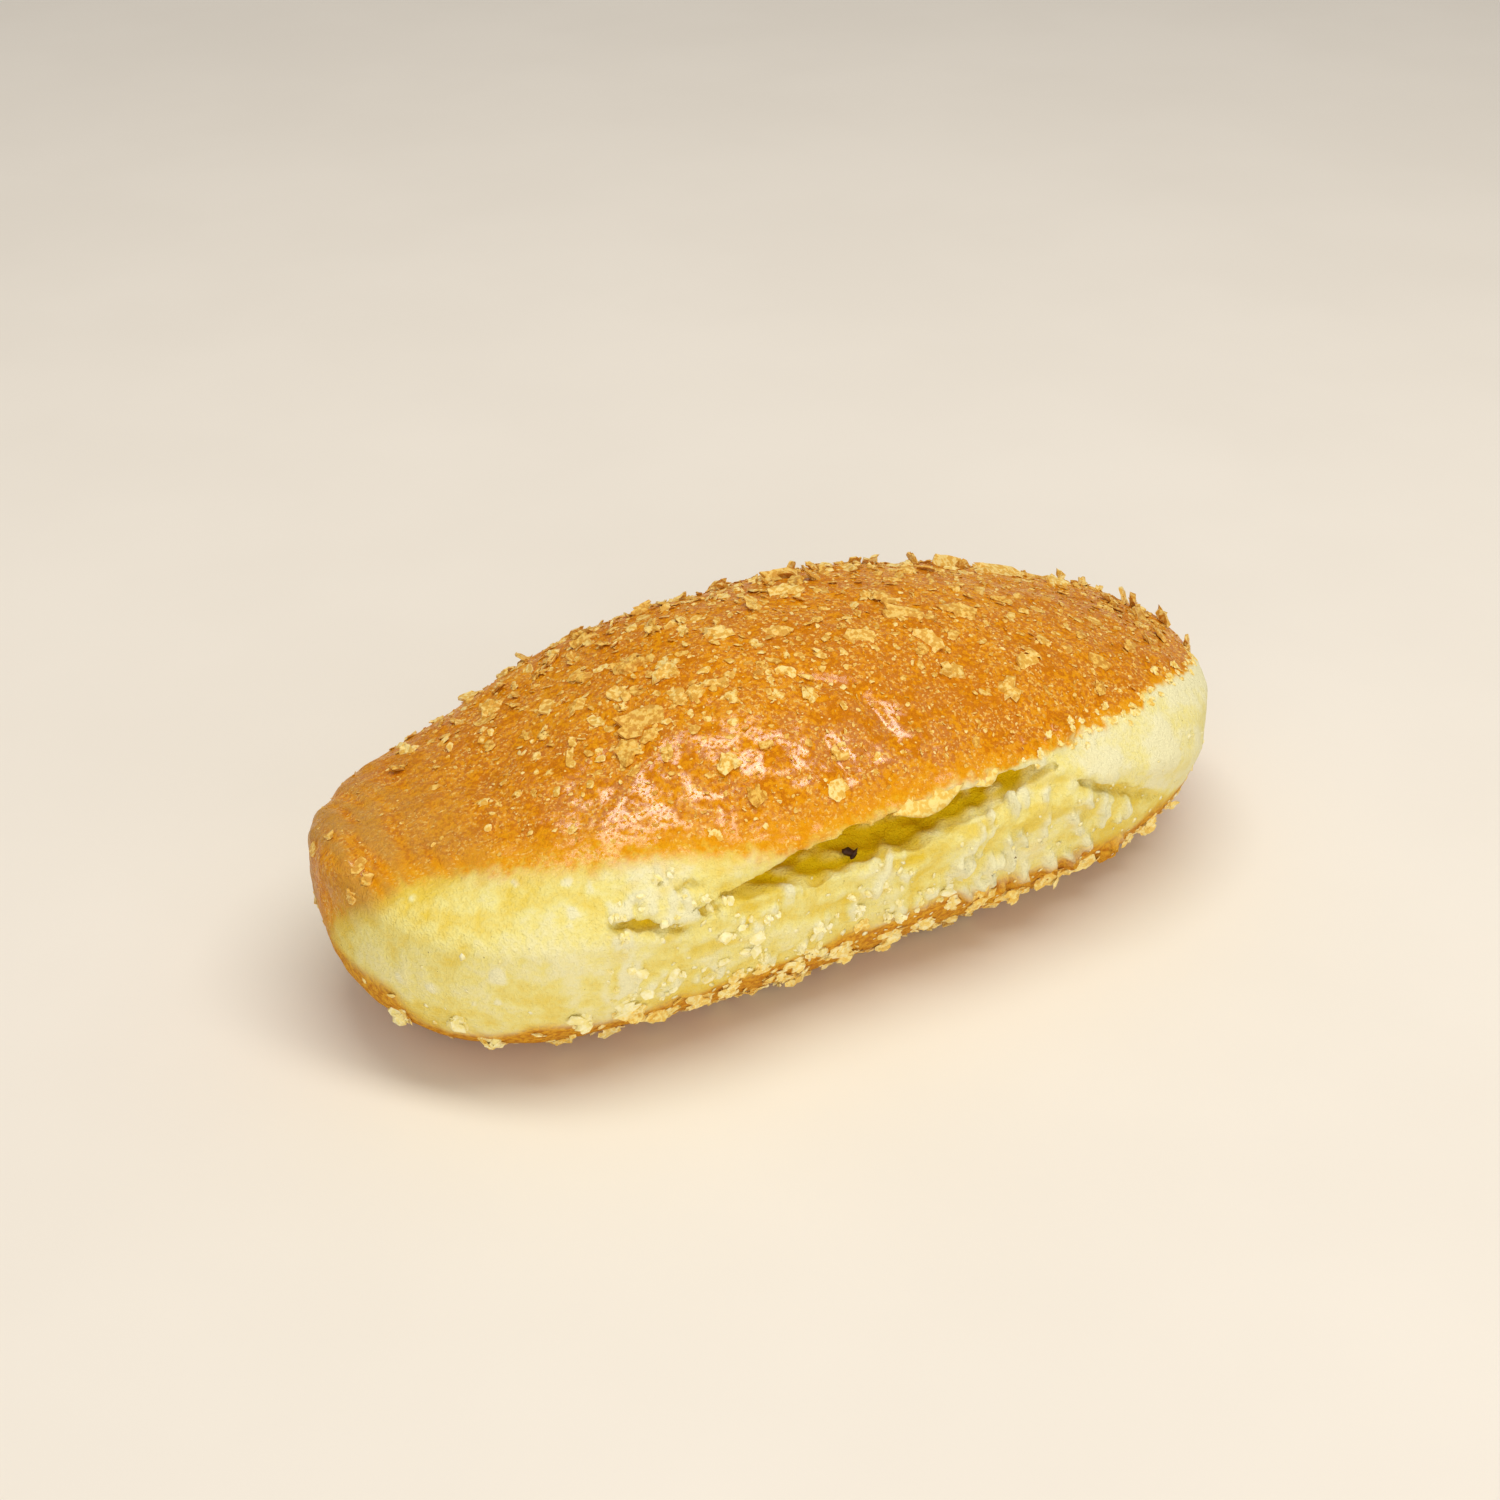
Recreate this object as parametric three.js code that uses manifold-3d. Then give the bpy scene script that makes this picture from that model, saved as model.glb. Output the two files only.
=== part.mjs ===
// A curry bread: a baked, filled bun of torpedo shape, with a browned crown, a pale side that has split
// open, a browned foot and coarse bread crumbs baked onto it.
// Millimetres, +Z up. The bun lies along X on its flat foot at Z = 0, its split side towards -Y.
import * as THREE from "three";
import { mergeVertices } from "three/addons/utils/BufferGeometryUtils.js";
import Module from "manifold-3d";

// The bun's main sizes.
const bunLength = 140;
const bunWidth = 65;
const bunHeight = 44.5;
const waistHeight = 22; // height of the widest line
const footSink = 2.5; // how far the rounded underside would pass below the table if it were not flat
const sideBow = 2; // how far both ends bend away from the split side

// The bun's roundness. A larger squareness keeps the bun wide for longer before its end rounds off.
const leftSquareness = { split: 5.4, back: 2.65 };
const rightSquareness = { split: 4.2, back: 2.4 };
const squarenessBlend = 0.8; // share of the width over which one side's squareness turns into the other's
const crownFullness = 0.29; // a smaller value keeps the crown high for longer towards the ends
const footFullness = 0.6;
const footSquareness = 2.5;

// The crown is highest in the middle and lower at the ends. On the left it sinks early and then levels off.
const leftFall = { depth: 0.33, start: 0.1, end: 0.9 };
const rightFall = 0.45;

// The mesh of the bun.
const stepsAround = 40;
const stepsAlong = 52;
const endCrowding = 1.4; // above 1 the steps along the bun crowd towards its ends

// The two openings in the side: the split under the lip of the crust, and the crease below it on the right.
const split = { from: -45, to: 36, height: 4.6, depth: 6.5, midHeight: 26.5, slope: 0.022, undercut: 0.25 };
const crease = { from: 20, to: 53, height: 2, depth: 3, midHeight: 31.6, slope: -0.32, undercut: 0.1 };
const openingStepsAround = 12;
const openingStepsAlong = 20;

// The crumbs, by the part of the bun that they lie on. Angles are in degrees round the bun, as in bunPoint.
const zones = {
  crown: { count: 104, along: [-0.86, 0.96], angles: [[22, 150]], lengths: [5.4, 2.2], tilt: 32 },
  wall: { count: 30, along: [-0.62, 0.8], angles: [[158, 196], [-14, 20]], lengths: [5.2, 2.4], tilt: 20 },
  foot: { count: 78, along: [-0.97, 0.97], angles: [[203, 232], [-50, -23]], lengths: [4.6, 2.2], tilt: 38 },
};
const flakeThickness = 0.42; // share of a crumb's width
const flakeSink = 0.26; // share of a crumb's height that is baked into the bun
const leastClearance = 0.2; // crumbs stay this far above the table
const cornerJitter = 0.32; // how far a crumb's corners leave a regular shape
const simpleLength = 3.6; // a crumb shorter than this has fewer corners

// The flakes that stand out most: place along and round the bun, length, width, turn and tilt.
const largeFlakes = [
  { s: 0.08, angle: 160, length: 12, width: 3.6, turn: 6, tilt: 22 },
  { s: -0.33, angle: 86, length: 6.5, width: 5, turn: 25, tilt: 8 },
  { s: -0.4, angle: 105, length: 6, width: 4.4, turn: -35, tilt: -10 },
  { s: -0.23, angle: 107, length: 5, width: 3.4, turn: 5, tilt: 15 },
  { s: 0.46, angle: 57, length: 4, width: 3.4, turn: 80, tilt: 62 },
  { s: 0.54, angle: 62, length: 5, width: 3, turn: 20, tilt: 50 },
  { s: 0.93, angle: 62, length: 4.5, width: 3.2, turn: 40, tilt: 48 },
  { s: 0.97, angle: 110, length: 4, width: 3, turn: 70, tilt: 46 },
  { s: -0.51, angle: 212, length: 6.2, width: 4, turn: 0, tilt: -35 },
  { s: -0.22, angle: 217, length: 5, width: 3.6, turn: -10, tilt: -40 },
  { s: -0.11, angle: 210, length: 6, width: 4.2, turn: 15, tilt: -30 },
  { s: 0.63, angle: 208, length: 5.5, width: 3.6, turn: 30, tilt: -42 },
];

const wasm = await Module();
wasm.setup();

const { lerp, clamp, degToRad } = THREE.MathUtils;

function smooth(t) {
  return THREE.MathUtils.smoothstep(t, 0, 1);
}

// The i-th number, from 0 to 1, of a spread that fills its range evenly however many are drawn.
function spread(i, base) {
  let value = 0;
  let share = 1 / base;
  for (let rest = i; rest > 0; rest = Math.floor(rest / base)) {
    value += share * (rest % base);
    share /= base;
  }
  return value;
}

// How wide the bun is at s, as a share of its full width, on the side that cosine points to.
function widthShare(s, cosine) {
  const squareness = s < 0 ? leftSquareness : rightSquareness;
  const towardsSplit = smooth(0.5 - cosine / squarenessBlend);
  const power = lerp(squareness.back, squareness.split, towardsSplit);
  return Math.sqrt(Math.max(0, 1 - Math.abs(s) ** power));
}

// How high the crown's ridge is at s.
function crownHeight(s) {
  const left = leftFall.depth * smooth((-s - leftFall.start) / (leftFall.end - leftFall.start));
  return bunHeight * (1 - (s < 0 ? left : rightFall * s * s));
}

// A point of the bun's surface. s runs from -1 at the left end to 1 at the right end. The angle runs round
// the bun: 0 at the back's widest line, a quarter turn at the crown, half a turn on the split side.
function bunPoint(s, angle) {
  const cosine = Math.cos(angle);
  const sine = Math.sin(angle);
  const share = widthShare(s, cosine);
  const halfWidth = (bunWidth / 2) * share;
  const bow = sideBow * s * s;
  if (sine >= 0) {
    const rise = (crownHeight(s) - waistHeight) * sine * share ** crownFullness;
    return new THREE.Vector3((s * bunLength) / 2, halfWidth * cosine + bow, waistHeight + rise);
  }
  const bend = 2 / footSquareness;
  const drop = (waistHeight + footSink) * Math.abs(sine) ** bend * share ** footFullness;
  const y = halfWidth * Math.sign(cosine) * Math.abs(cosine) ** bend + bow;
  return new THREE.Vector3((s * bunLength) / 2, y, Math.max(0, waistHeight - drop));
}

// The way that the surface faces, from two short steps over it.
function bunNormal(s, angle) {
  const step = 0.004;
  const here = clamp(s, -0.99, 0.99);
  const along = bunPoint(here + step, angle).sub(bunPoint(here - step, angle));
  const around = bunPoint(here, angle + step).sub(bunPoint(here, angle - step));
  return along.cross(around).normalize();
}

// The place on the split side's wall at a height, for cutting into it.
function wallPoint(x, z) {
  const s = (2 * x) / bunLength;
  const share = widthShare(s, -1);
  const rise = (z - waistHeight) / ((crownHeight(s) - waistHeight) * share ** crownFullness);
  const drop = (waistHeight - z) / ((waistHeight + footSink) * share ** footFullness);
  const sine = z >= waistHeight ? clamp(rise, 0, 1) : -(clamp(drop, 0, 1) ** (footSquareness / 2));
  return bunPoint(s, Math.PI - Math.asin(sine));
}

// Joins a geometry's shared corners, and keeps nothing but their places.
function bare(geometry) {
  geometry.deleteAttribute("normal");
  geometry.deleteAttribute("uv");
  return mergeVertices(geometry, 1e-4);
}

// Moves every corner of a geometry to the place that a function gives for it.
function reshape(geometry, place) {
  const position = geometry.getAttribute("position");
  const corner = new THREE.Vector3();
  for (let i = 0; i < position.count; i++) {
    const moved = place(corner.fromBufferAttribute(position, i), i);
    position.setXYZ(i, moved.x, moved.y, moved.z);
  }
  return geometry;
}

function solidFrom(geometry) {
  const merged = bare(geometry);
  const vertProperties = merged.getAttribute("position").array;
  const triVerts = Uint32Array.from(merged.index.array);
  return new wasm.Manifold(new wasm.Mesh({ numProp: 3, vertProperties, triVerts }));
}

function geometryFrom(solid) {
  const mesh = solid.getMesh();
  const geometry = new THREE.BufferGeometry();
  geometry.setAttribute("position", new THREE.BufferAttribute(mesh.vertProperties, 3));
  geometry.setIndex(new THREE.BufferAttribute(mesh.triVerts, 1));
  geometry.computeVertexNormals();
  return geometry;
}

// A ball whose poles point along X, to be shaped into the bun or an opening.
function ballAlongX(around, along) {
  return new THREE.SphereGeometry(1, around, along).rotateZ(-Math.PI / 2);
}

function bunSolid() {
  const ball = ballAlongX(stepsAround, stepsAlong);
  reshape(ball, (corner) => {
    const fromEnd = 1 - Math.abs(1 - (2 * Math.acos(clamp(corner.x, -1, 1))) / Math.PI);
    const s = Math.sign(corner.x) * Math.cos((Math.PI / 2) * fromEnd ** endCrowding);
    return bunPoint(s, Math.atan2(corner.z, corner.y));
  });
  return solidFrom(ball);
}

// The space of an opening: a lens that follows the wall, tapers to both ends and leans up as it goes in.
function openingSolid({ from, to, height, depth, midHeight, slope, undercut }) {
  const ball = ballAlongX(openingStepsAround, openingStepsAlong);
  reshape(ball, (corner) => {
    const x = lerp(from, to, (corner.x + 1) / 2);
    const inwards = depth * corner.y;
    const wall = wallPoint(x, midHeight + slope * x + (height / 2) * corner.z);
    return new THREE.Vector3(x, wall.y + inwards, wall.z + undercut * inwards);
  });
  return solidFrom(ball);
}

// Crumbs lie thick on the crown's ridge and back, thin out over the gloss above the split side, and leave
// the left end nearly bare. Elsewhere they lie evenly.
function crumbDensity(zoneName, s, angle) {
  if (zoneName !== "crown") {
    return 1;
  }
  const ridge = lerp(1, 0.16, smooth((angle - 104) / 24));
  const leftEnd = smooth((s + 0.92) / 0.4);
  return ridge * leftEnd;
}

// The crumbs of one zone, the largest first, each at an evenly spread place.
function crumbsOf(zoneName) {
  const zone = zones[zoneName];
  const crumbs = [];
  for (let i = 1; crumbs.length < zone.count; i++) {
    const s = lerp(zone.along[0], zone.along[1], spread(i, 2));
    const [first, last] = zone.angles[Math.floor(spread(i, 17) * zone.angles.length)];
    const angle = lerp(first, last, spread(i, 3));
    if (spread(i, 5) > crumbDensity(zoneName, s, angle)) {
      continue;
    }
    const rank = crumbs.length / zone.count;
    const length = lerp(zone.lengths[0], zone.lengths[1], Math.sqrt(rank));
    const width = length * lerp(0.42, 0.8, spread(i, 7));
    const turn = 180 * spread(i, 11);
    const tilt = zone.tilt * (2 * spread(i, 13) - 1);
    crumbs.push({ s, angle, length, width, turn, tilt });
  }
  return crumbs;
}

// One crumb: an uneven flat chip, turned and tilted on the surface and partly baked into it.
function crumbSolid({ s, angle, length, width, turn, tilt }, seed) {
  const round = degToRad(angle);
  const lean = degToRad(tilt);
  const thickness = flakeThickness * width;
  const normal = bunNormal(s, round);
  const across = new THREE.Vector3().crossVectors(normal, new THREE.Vector3(1, 0, 0)).normalize();
  const along = new THREE.Vector3().crossVectors(across, normal);
  const stand = new THREE.Matrix4().makeBasis(along, across, normal);
  const turned = new THREE.Matrix4().makeRotationZ(degToRad(turn));
  const leaned = new THREE.Matrix4().makeRotationX(lean);
  const halfHeight = (Math.abs(Math.sin(lean)) * width + Math.cos(lean) * thickness) / 2;
  const centre = bunPoint(s, round).addScaledVector(normal, halfHeight * (1 - 2 * flakeSink));
  const place = stand.multiply(turned).multiply(leaned).setPosition(centre);

  const chip = bare(length < simpleLength ? new THREE.OctahedronGeometry(1) : new THREE.IcosahedronGeometry(1));
  reshape(chip, (corner, i) => {
    const swell = 1 + cornerJitter * (2 * spread(seed * 12 + i + 1, 2) - 1);
    corner.set(corner.x * length, corner.y * width, corner.z * thickness);
    corner.multiplyScalar(swell / 2).applyMatrix4(place);
    corner.z = Math.max(corner.z, leastClearance);
    return corner;
  });
  return solidFrom(chip);
}

function breadSolid() {
  let bread = bunSolid().subtract(openingSolid(split)).subtract(openingSolid(crease));
  const crumbs = [...largeFlakes, ...Object.keys(zones).flatMap(crumbsOf)];
  crumbs.forEach((crumb, i) => {
    bread = bread.add(crumbSolid(crumb, i));
  });
  // The largest shell alone: a hollow sealed between crumbs is filled, and a loose scrap is dropped.
  const [whole] = bread.decompose().sort((a, b) => b.volume() - a.volume());
  return whole;
}

const crust = new THREE.MeshStandardMaterial({ color: 0xc8873a, roughness: 0.6, metalness: 0 });
const bread = new THREE.Mesh(geometryFrom(breadSolid()), crust);
bread.name = "bread";

const curryBread = new THREE.Group();
curryBread.add(bread);

export default curryBread;
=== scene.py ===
# %% [markdown]
# # A curry bread, dressed in cells
# A curry bread is a soft filled bun that is rolled in coarse crumbs and baked. This one has a browned, glossy
# crown, a pale side that split open in the oven, a browned foot, and crumbs of many sizes baked onto it.
# The plain CAD solid is loaded first. It stays the measure for all that follows, so its box is kept at once.

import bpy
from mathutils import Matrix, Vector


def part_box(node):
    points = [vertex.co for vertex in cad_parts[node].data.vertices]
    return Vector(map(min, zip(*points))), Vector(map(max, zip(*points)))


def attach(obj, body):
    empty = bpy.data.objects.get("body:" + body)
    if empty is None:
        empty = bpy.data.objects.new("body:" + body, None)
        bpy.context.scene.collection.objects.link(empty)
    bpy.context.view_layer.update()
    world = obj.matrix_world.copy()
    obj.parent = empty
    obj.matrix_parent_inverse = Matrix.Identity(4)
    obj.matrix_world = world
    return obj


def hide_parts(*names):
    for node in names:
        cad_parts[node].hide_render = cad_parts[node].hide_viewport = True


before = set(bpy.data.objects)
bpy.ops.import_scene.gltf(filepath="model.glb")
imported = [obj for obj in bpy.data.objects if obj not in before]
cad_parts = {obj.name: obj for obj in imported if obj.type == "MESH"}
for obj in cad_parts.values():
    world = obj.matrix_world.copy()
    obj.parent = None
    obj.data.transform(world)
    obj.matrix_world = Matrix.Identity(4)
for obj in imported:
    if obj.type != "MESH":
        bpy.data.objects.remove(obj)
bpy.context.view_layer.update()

# %% [markdown]
# ## Sizes
# Length, width and height come from the CAD node, less the little that its crumbs stand above the bun.
# Blender counts in metres, but a bun is easier to think of in millimetres, so lengths are written as
# a number of millimetres times MM.

# %% Tools and sizes
import math

import bmesh
import bpy
import numpy as np
from mathutils import Matrix, Vector, noise
from mathutils.bvhtree import BVHTree

MM = 0.001
CRUMB_RISE = 0.1 * MM  # how far the highest crumbs stand above the bun
bread_low, bread_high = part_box("bread")
HALF_LENGTH = (bread_high.x - bread_low.x) / 2
HALF_WIDTH = (bread_high.y - bread_low.y - CRUMB_RISE) / 2
CROWN_TOP = bread_high.z - CRUMB_RISE
WAIST = 22 * MM  # height of the widest line
FOOT_SINK = 2.5 * MM  # how far the rounded underside would pass below the table if it were not flat
SIDE_BOW = 2 * MM  # how far both ends bend away from the split side
print(f"bun {2 * HALF_LENGTH / MM:.1f} x {2 * HALF_WIDTH / MM:.1f} x {CROWN_TOP / MM:.1f} mm")

# %% [markdown]
# ## The form of the bun
# A bun like this could be sculpted by hand, but a formula keeps it true to the CAD solid: each point is
# found from s, which runs from -1 to 1 along the bun, and an angle that runs round it, with 0 at the back,
# a quarter turn at the crown and half a turn on the split side. numpy works out all points in one go.

# %% The form of the bun
LEFT_SQUARENESS = {"back": 2.65, "split": 5.4}  # a larger value keeps the bun wide for longer
RIGHT_SQUARENESS = {"back": 2.4, "split": 4.2}
SQUARENESS_BLEND = 0.8
CROWN_FULLNESS = 0.29  # a smaller value keeps the crown high for longer
FOOT_FULLNESS = 0.6
FOOT_SQUARENESS = 2.5
LEFT_FALL = {"depth": 0.33, "start": 0.1, "end": 0.9}  # the crown sinks towards both ends
RIGHT_FALL = 0.45


def mix(first, second, t):
    return first + (second - first) * t


def smooth(t):
    """Eases from 0 to 1 as t does, and stays there."""
    t = np.clip(t, 0.0, 1.0)
    return t * t * (3.0 - 2.0 * t)


def ease(value, start, full):
    """Eases from 0 to 1 as a value goes from start to full."""
    return smooth((value - start) / (full - start))


def width_share(s, cosine):
    """How wide the bun is at s, as a share of its full width, on the side that cosine points to."""
    to_split = smooth(0.5 - cosine / SQUARENESS_BLEND)
    left = mix(LEFT_SQUARENESS["back"], LEFT_SQUARENESS["split"], to_split)
    right = mix(RIGHT_SQUARENESS["back"], RIGHT_SQUARENESS["split"], to_split)
    return np.sqrt(np.maximum(0.0, 1.0 - np.abs(s) ** np.where(s < 0, left, right)))


def crown_height(s):
    left = LEFT_FALL["depth"] * ease(-s, LEFT_FALL["start"], LEFT_FALL["end"])
    return CROWN_TOP * (1.0 - np.where(s < 0, left, RIGHT_FALL * s * s))


def bun_point(s, angle):
    """The point of the surface at s along the bun and at an angle round it."""
    cosine = np.cos(angle)
    sine = np.sin(angle)
    share = width_share(s, cosine)
    bend = 2 / FOOT_SQUARENESS
    rise = (crown_height(s) - WAIST) * sine * share**CROWN_FULLNESS
    drop = (WAIST + FOOT_SINK) * np.abs(sine) ** bend * share**FOOT_FULLNESS
    reach = np.where(sine >= 0, cosine, np.sign(cosine) * np.abs(cosine) ** bend)
    height = np.where(sine >= 0, WAIST + rise, np.maximum(0.0, WAIST - drop))
    return np.stack([s * HALF_LENGTH, HALF_WIDTH * share * reach + SIDE_BOW * s * s, height], axis=-1)


def wall_point(x, z):
    """The point of the split side's wall at a place along the bun and a height."""
    s = x / HALF_LENGTH
    share = width_share(s, -np.ones_like(s))
    rise = (z - WAIST) / ((crown_height(s) - WAIST) * share**CROWN_FULLNESS)
    drop = (WAIST - z) / ((WAIST + FOOT_SINK) * share**FOOT_FULLNESS)
    sine = np.where(z >= WAIST, np.clip(rise, 0, 1), -np.clip(drop, 0, 1) ** (FOOT_SQUARENESS / 2))
    return bun_point(s, math.pi - np.arcsin(sine))


print("crown, back and split side at the middle, in mm:")
print((bun_point(np.zeros(3), np.radians([90.0, 0.0, 180.0])) / MM).round(1))

# %% [markdown]
# ## The ball that becomes the bun
# The bun starts as a UV sphere whose poles point along X, so that its rings become slices of the bun.
# Every corner of the sphere then moves to its place in the formula. The lip of crust above the split, the
# dough that bulges below it and the fold at the right are pushed out of the wall on the way.

# %% Shape the bun
BUN_AROUND = 200
BUN_ALONG = 160
END_CROWDING = 1.4  # above 1 the slices crowd towards the ends
BULGES = {  # both ends as (along the bun, height), half thickness and rise, in millimetres
    "lip": {"start": (-46, 28.2), "end": (42, 31.8), "reach": 1.7, "rise": 0.8},
    "inner band": {"start": (-4, 22.4), "end": (36, 23.4), "reach": 1.7, "rise": 0.9},
    "right fold": {"start": (18, 30.4), "end": (64, 15.8), "reach": 2.4, "rise": 1.2},
}
BULGE_TAPER = 0.25  # share of a bulge's length over which it rises at each end


def ball_along_x(around, along):
    ball = bmesh.new()
    turn = Matrix.Rotation(math.pi / 2, 4, "Y")
    bmesh.ops.create_uvsphere(ball, u_segments=around, v_segments=along, radius=1.0, matrix=turn)
    return ball


def corners(shape):
    return np.array([vertex.co for vertex in shape.verts])


def move_corners(shape, places):
    for vertex, place in zip(shape.verts, places):
        vertex.co = place


def new_object(name, shape):
    """Turns a bmesh into an object of the scene, its faces pointing outwards."""
    bmesh.ops.recalc_face_normals(shape, faces=shape.faces)
    mesh = bpy.data.meshes.new(name)
    shape.to_mesh(mesh)
    shape.free()
    made = bpy.data.objects.new(name, mesh)
    bpy.context.scene.collection.objects.link(made)
    return made


def bell(value, middle, reach):
    """1 in the middle, fading to 0 on both sides."""
    return np.exp(-(((value - middle) / reach) ** 2))


def line_at(x, start, end):
    """How far along a line on the wall x lies, as a share, and how high the line is there in millimetres."""
    t = (x / MM - start[0]) / (end[0] - start[0])
    return t, mix(start[1], end[1], t)


def swelling(x, z):
    """How far the split side's wall is pushed out by its bulges."""
    total = np.zeros_like(x)
    for bulge in BULGES.values():
        t, height = line_at(x, bulge["start"], bulge["end"])
        taper = smooth(t / BULGE_TAPER) * smooth((1 - t) / BULGE_TAPER)
        total += bulge["rise"] * MM * taper * bell(z / MM, height, bulge["reach"])
    return total


ball = ball_along_x(BUN_AROUND, BUN_ALONG)
unit = corners(ball)
from_end = 1 - np.abs(1 - 2 * np.arccos(np.clip(unit[:, 0], -1, 1)) / math.pi)
bun_s = np.sign(unit[:, 0]) * np.cos(math.pi / 2 * from_end**END_CROWDING)
bun_angle = np.arctan2(unit[:, 2], unit[:, 1])
places = bun_point(bun_s, bun_angle)
places[:, 1] -= swelling(places[:, 0], places[:, 2]) * smooth(-2 * np.cos(bun_angle))
move_corners(ball, places)
bun = new_object("bun", ball)
print("bun:", len(bun.data.vertices), "corners before it is cut")

# %% [markdown]
# ## The split
# Steam tore the side open below the crust. The main split, three short tears at its left end and the
# crease on the right are each cut by a lens that follows the wall, leans up a little as it goes in and has a
# ragged skin. Boolean modifiers cut them out, and a voxel Remesh gives the whole bun one even, fine mesh.

# %% Cut the openings
OPENINGS = {  # both ends as (along the bun, height), height and depth in millimetres, and lean
    "split": {"start": (-31, 24.8), "end": (27, 28.4), "height": 5.8, "depth": 7.0, "lean": 0.05},
    "upper tear": {"start": (-38, 28.4), "end": (-28.5, 27.4), "height": 1.5, "depth": 2.2, "lean": 0.1},
    "lower tear": {"start": (-45, 25.4), "end": (-31.5, 22.0), "height": 2.2, "depth": 2.4, "lean": 0.1},
    "small tear": {"start": (-34, 24.8), "end": (-27.5, 24.0), "height": 1.8, "depth": 2.0, "lean": 0.1},
    "crease": {"start": (22, 29.2), "end": (51, 12.4), "height": 2.6, "depth": 1.3, "lean": 0.1},
}
OPENING_AROUND = 24
OPENING_ALONG = 72
RAGGED_SIZE = 1.9 * MM
RAGGED_DEPTH = 1.0 * MM
VOXEL = 0.42 * MM


def ripple(points, size, shift=0.0):
    """Smooth noise, about -1 to 1, whose bumps are of the given size."""
    return np.array([noise.noise(place) for place in (points / size + shift).tolist()])


def opening(name, start, end, height, depth, lean):
    """The space of one opening, to be cut from the bun."""
    lens = ball_along_x(OPENING_AROUND, OPENING_ALONG)
    unit = corners(lens)
    t = (unit[:, 0] + 1) / 2
    x = mix(start[0], end[0], t) * MM
    slimness = np.sqrt(1 - unit[:, 0] ** 2)
    z = (mix(start[1], end[1], t) + height / 2 * slimness * unit[:, 2]) * MM
    inwards = depth * slimness * unit[:, 1] * MM
    wall = wall_point(x, z)
    places = np.stack([x, wall[:, 1] + inwards, wall[:, 2] + lean * inwards], axis=-1)
    thickness = np.hypot(unit[:, 1], unit[:, 2])
    places[:, 2] += RAGGED_DEPTH * thickness * ripple(places, RAGGED_SIZE, len(name))
    move_corners(lens, places)
    return new_object(name, lens)


def apply_modifiers(piece):
    graph = bpy.context.evaluated_depsgraph_get()
    mesh = bpy.data.meshes.new_from_object(piece.evaluated_get(graph))
    piece.modifiers.clear()
    piece.data = mesh


cutters = [opening(name, **values) for name, values in OPENINGS.items()]
for cutter in cutters:
    cut = bun.modifiers.new(cutter.name, "BOOLEAN")
    cut.operation = "DIFFERENCE"
    cut.solver = "EXACT"
    cut.object = cutter
remesh = bun.modifiers.new("even mesh", "REMESH")
remesh.mode = "VOXEL"
remesh.voxel_size = VOXEL
apply_modifiers(bun)
for cutter in cutters:
    bpy.data.objects.remove(cutter)
print("bun:", len(bun.data.polygons), "faces after cutting", len(cutters), "openings")

# %% [markdown]
# ## Where the bun is crust
# One bun has several skins. Above a wavy line it is browned crust, which fades out softly on the left, ends
# crisply on the right and wraps down round the left end. These areas could be painted by hand, but here each
# point of the mesh is asked how far it belongs to the crust, with noise so that no edge runs straight. The
# relief uses the answers now, and the material reads them later.

# %% Measure the crust
NEAR_EDGE = {  # s, and how many degrees the crust reaches down from the crown there, on the split side
    -1.0: 50, -0.965: 46, -0.906: 32, -0.836: 29, -0.715: 38, -0.588: 47, -0.42: 59, -0.23: 69,
    0.0: 68, 0.2: 68, 0.35: 64, 0.43: 62.5, 0.51: 61, 0.59: 60, 0.68: 56, 0.8: 51, 0.87: 49, 1.0: 54,
}
FAR_EDGE = {"middle": 72, "less": 28}  # the same on the back, and how much less it is at the right end
FAR_STRIP = {"s": 0.65, "reach": 0.17, "less": 28}  # a pale strip that shows past the crown's ridge
SIDE_CHANGE = 5 * MM  # the back begins this far behind the bun's middle, the split side this far before it
WOBBLES = [  # wide, fine and finest waves of an edge
    {"size": 11 * MM, "shift": 0.0}, {"size": 3 * MM, "shift": 7.0}, {"size": 1.3 * MM, "shift": 19.0},
]
EDGE_WOBBLE = (3.5, 2.5, 3)  # degrees that each of the waves moves the crust's edge
LEFT_FADE = {"below": 14, "above": 17}  # degrees over which the crust fades out
RIGHT_FADE = {"below": 4, "above": 7}
FADE_CHANGE = (-0.1, 0.3)  # the left fade turns into the right one between these values of s
LEFT_WRAP = {  # the crust round the left end: where it starts and ends as -s, its lowest line and its fade
    "start": 0.9, "back start": 0.7, "end": 0.965, "height": 18 * MM, "slope": -0.82, "least": 13 * MM,
    "fade": 12 * MM, "end wobble": 0.05, "wobble": (1.4 * MM, 1 * MM),
}
TAN_END = (0.62, 0.98)  # the crust turns tan between these values of -s
CLOSED_END = 0.999  # just beyond this s the bun closes
FITTING_ROUNDS = 3  # width and angle depend on each other, so they are found in rounds


def vectors_of(items, name):
    """One vector of each item of a mesh, as an array."""
    values = np.empty(len(items) * 3, np.float32)
    items.foreach_get(name, values)
    return values.reshape(-1, 3).astype(float)


def bumps(kind):
    """Noise over the bun of a kind's size, stretched where the kind says so."""
    return ripple(places * kind.get("stretch", 1), kind["size"], kind["shift"])


def unsteady(*shares):
    """A sum of the waves that edges have, each by its share."""
    return sum(share * wave for share, wave in zip(shares, waves))


def near_edge(s):
    return np.interp(s, list(NEAR_EDGE), list(NEAR_EDGE.values()))


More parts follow.
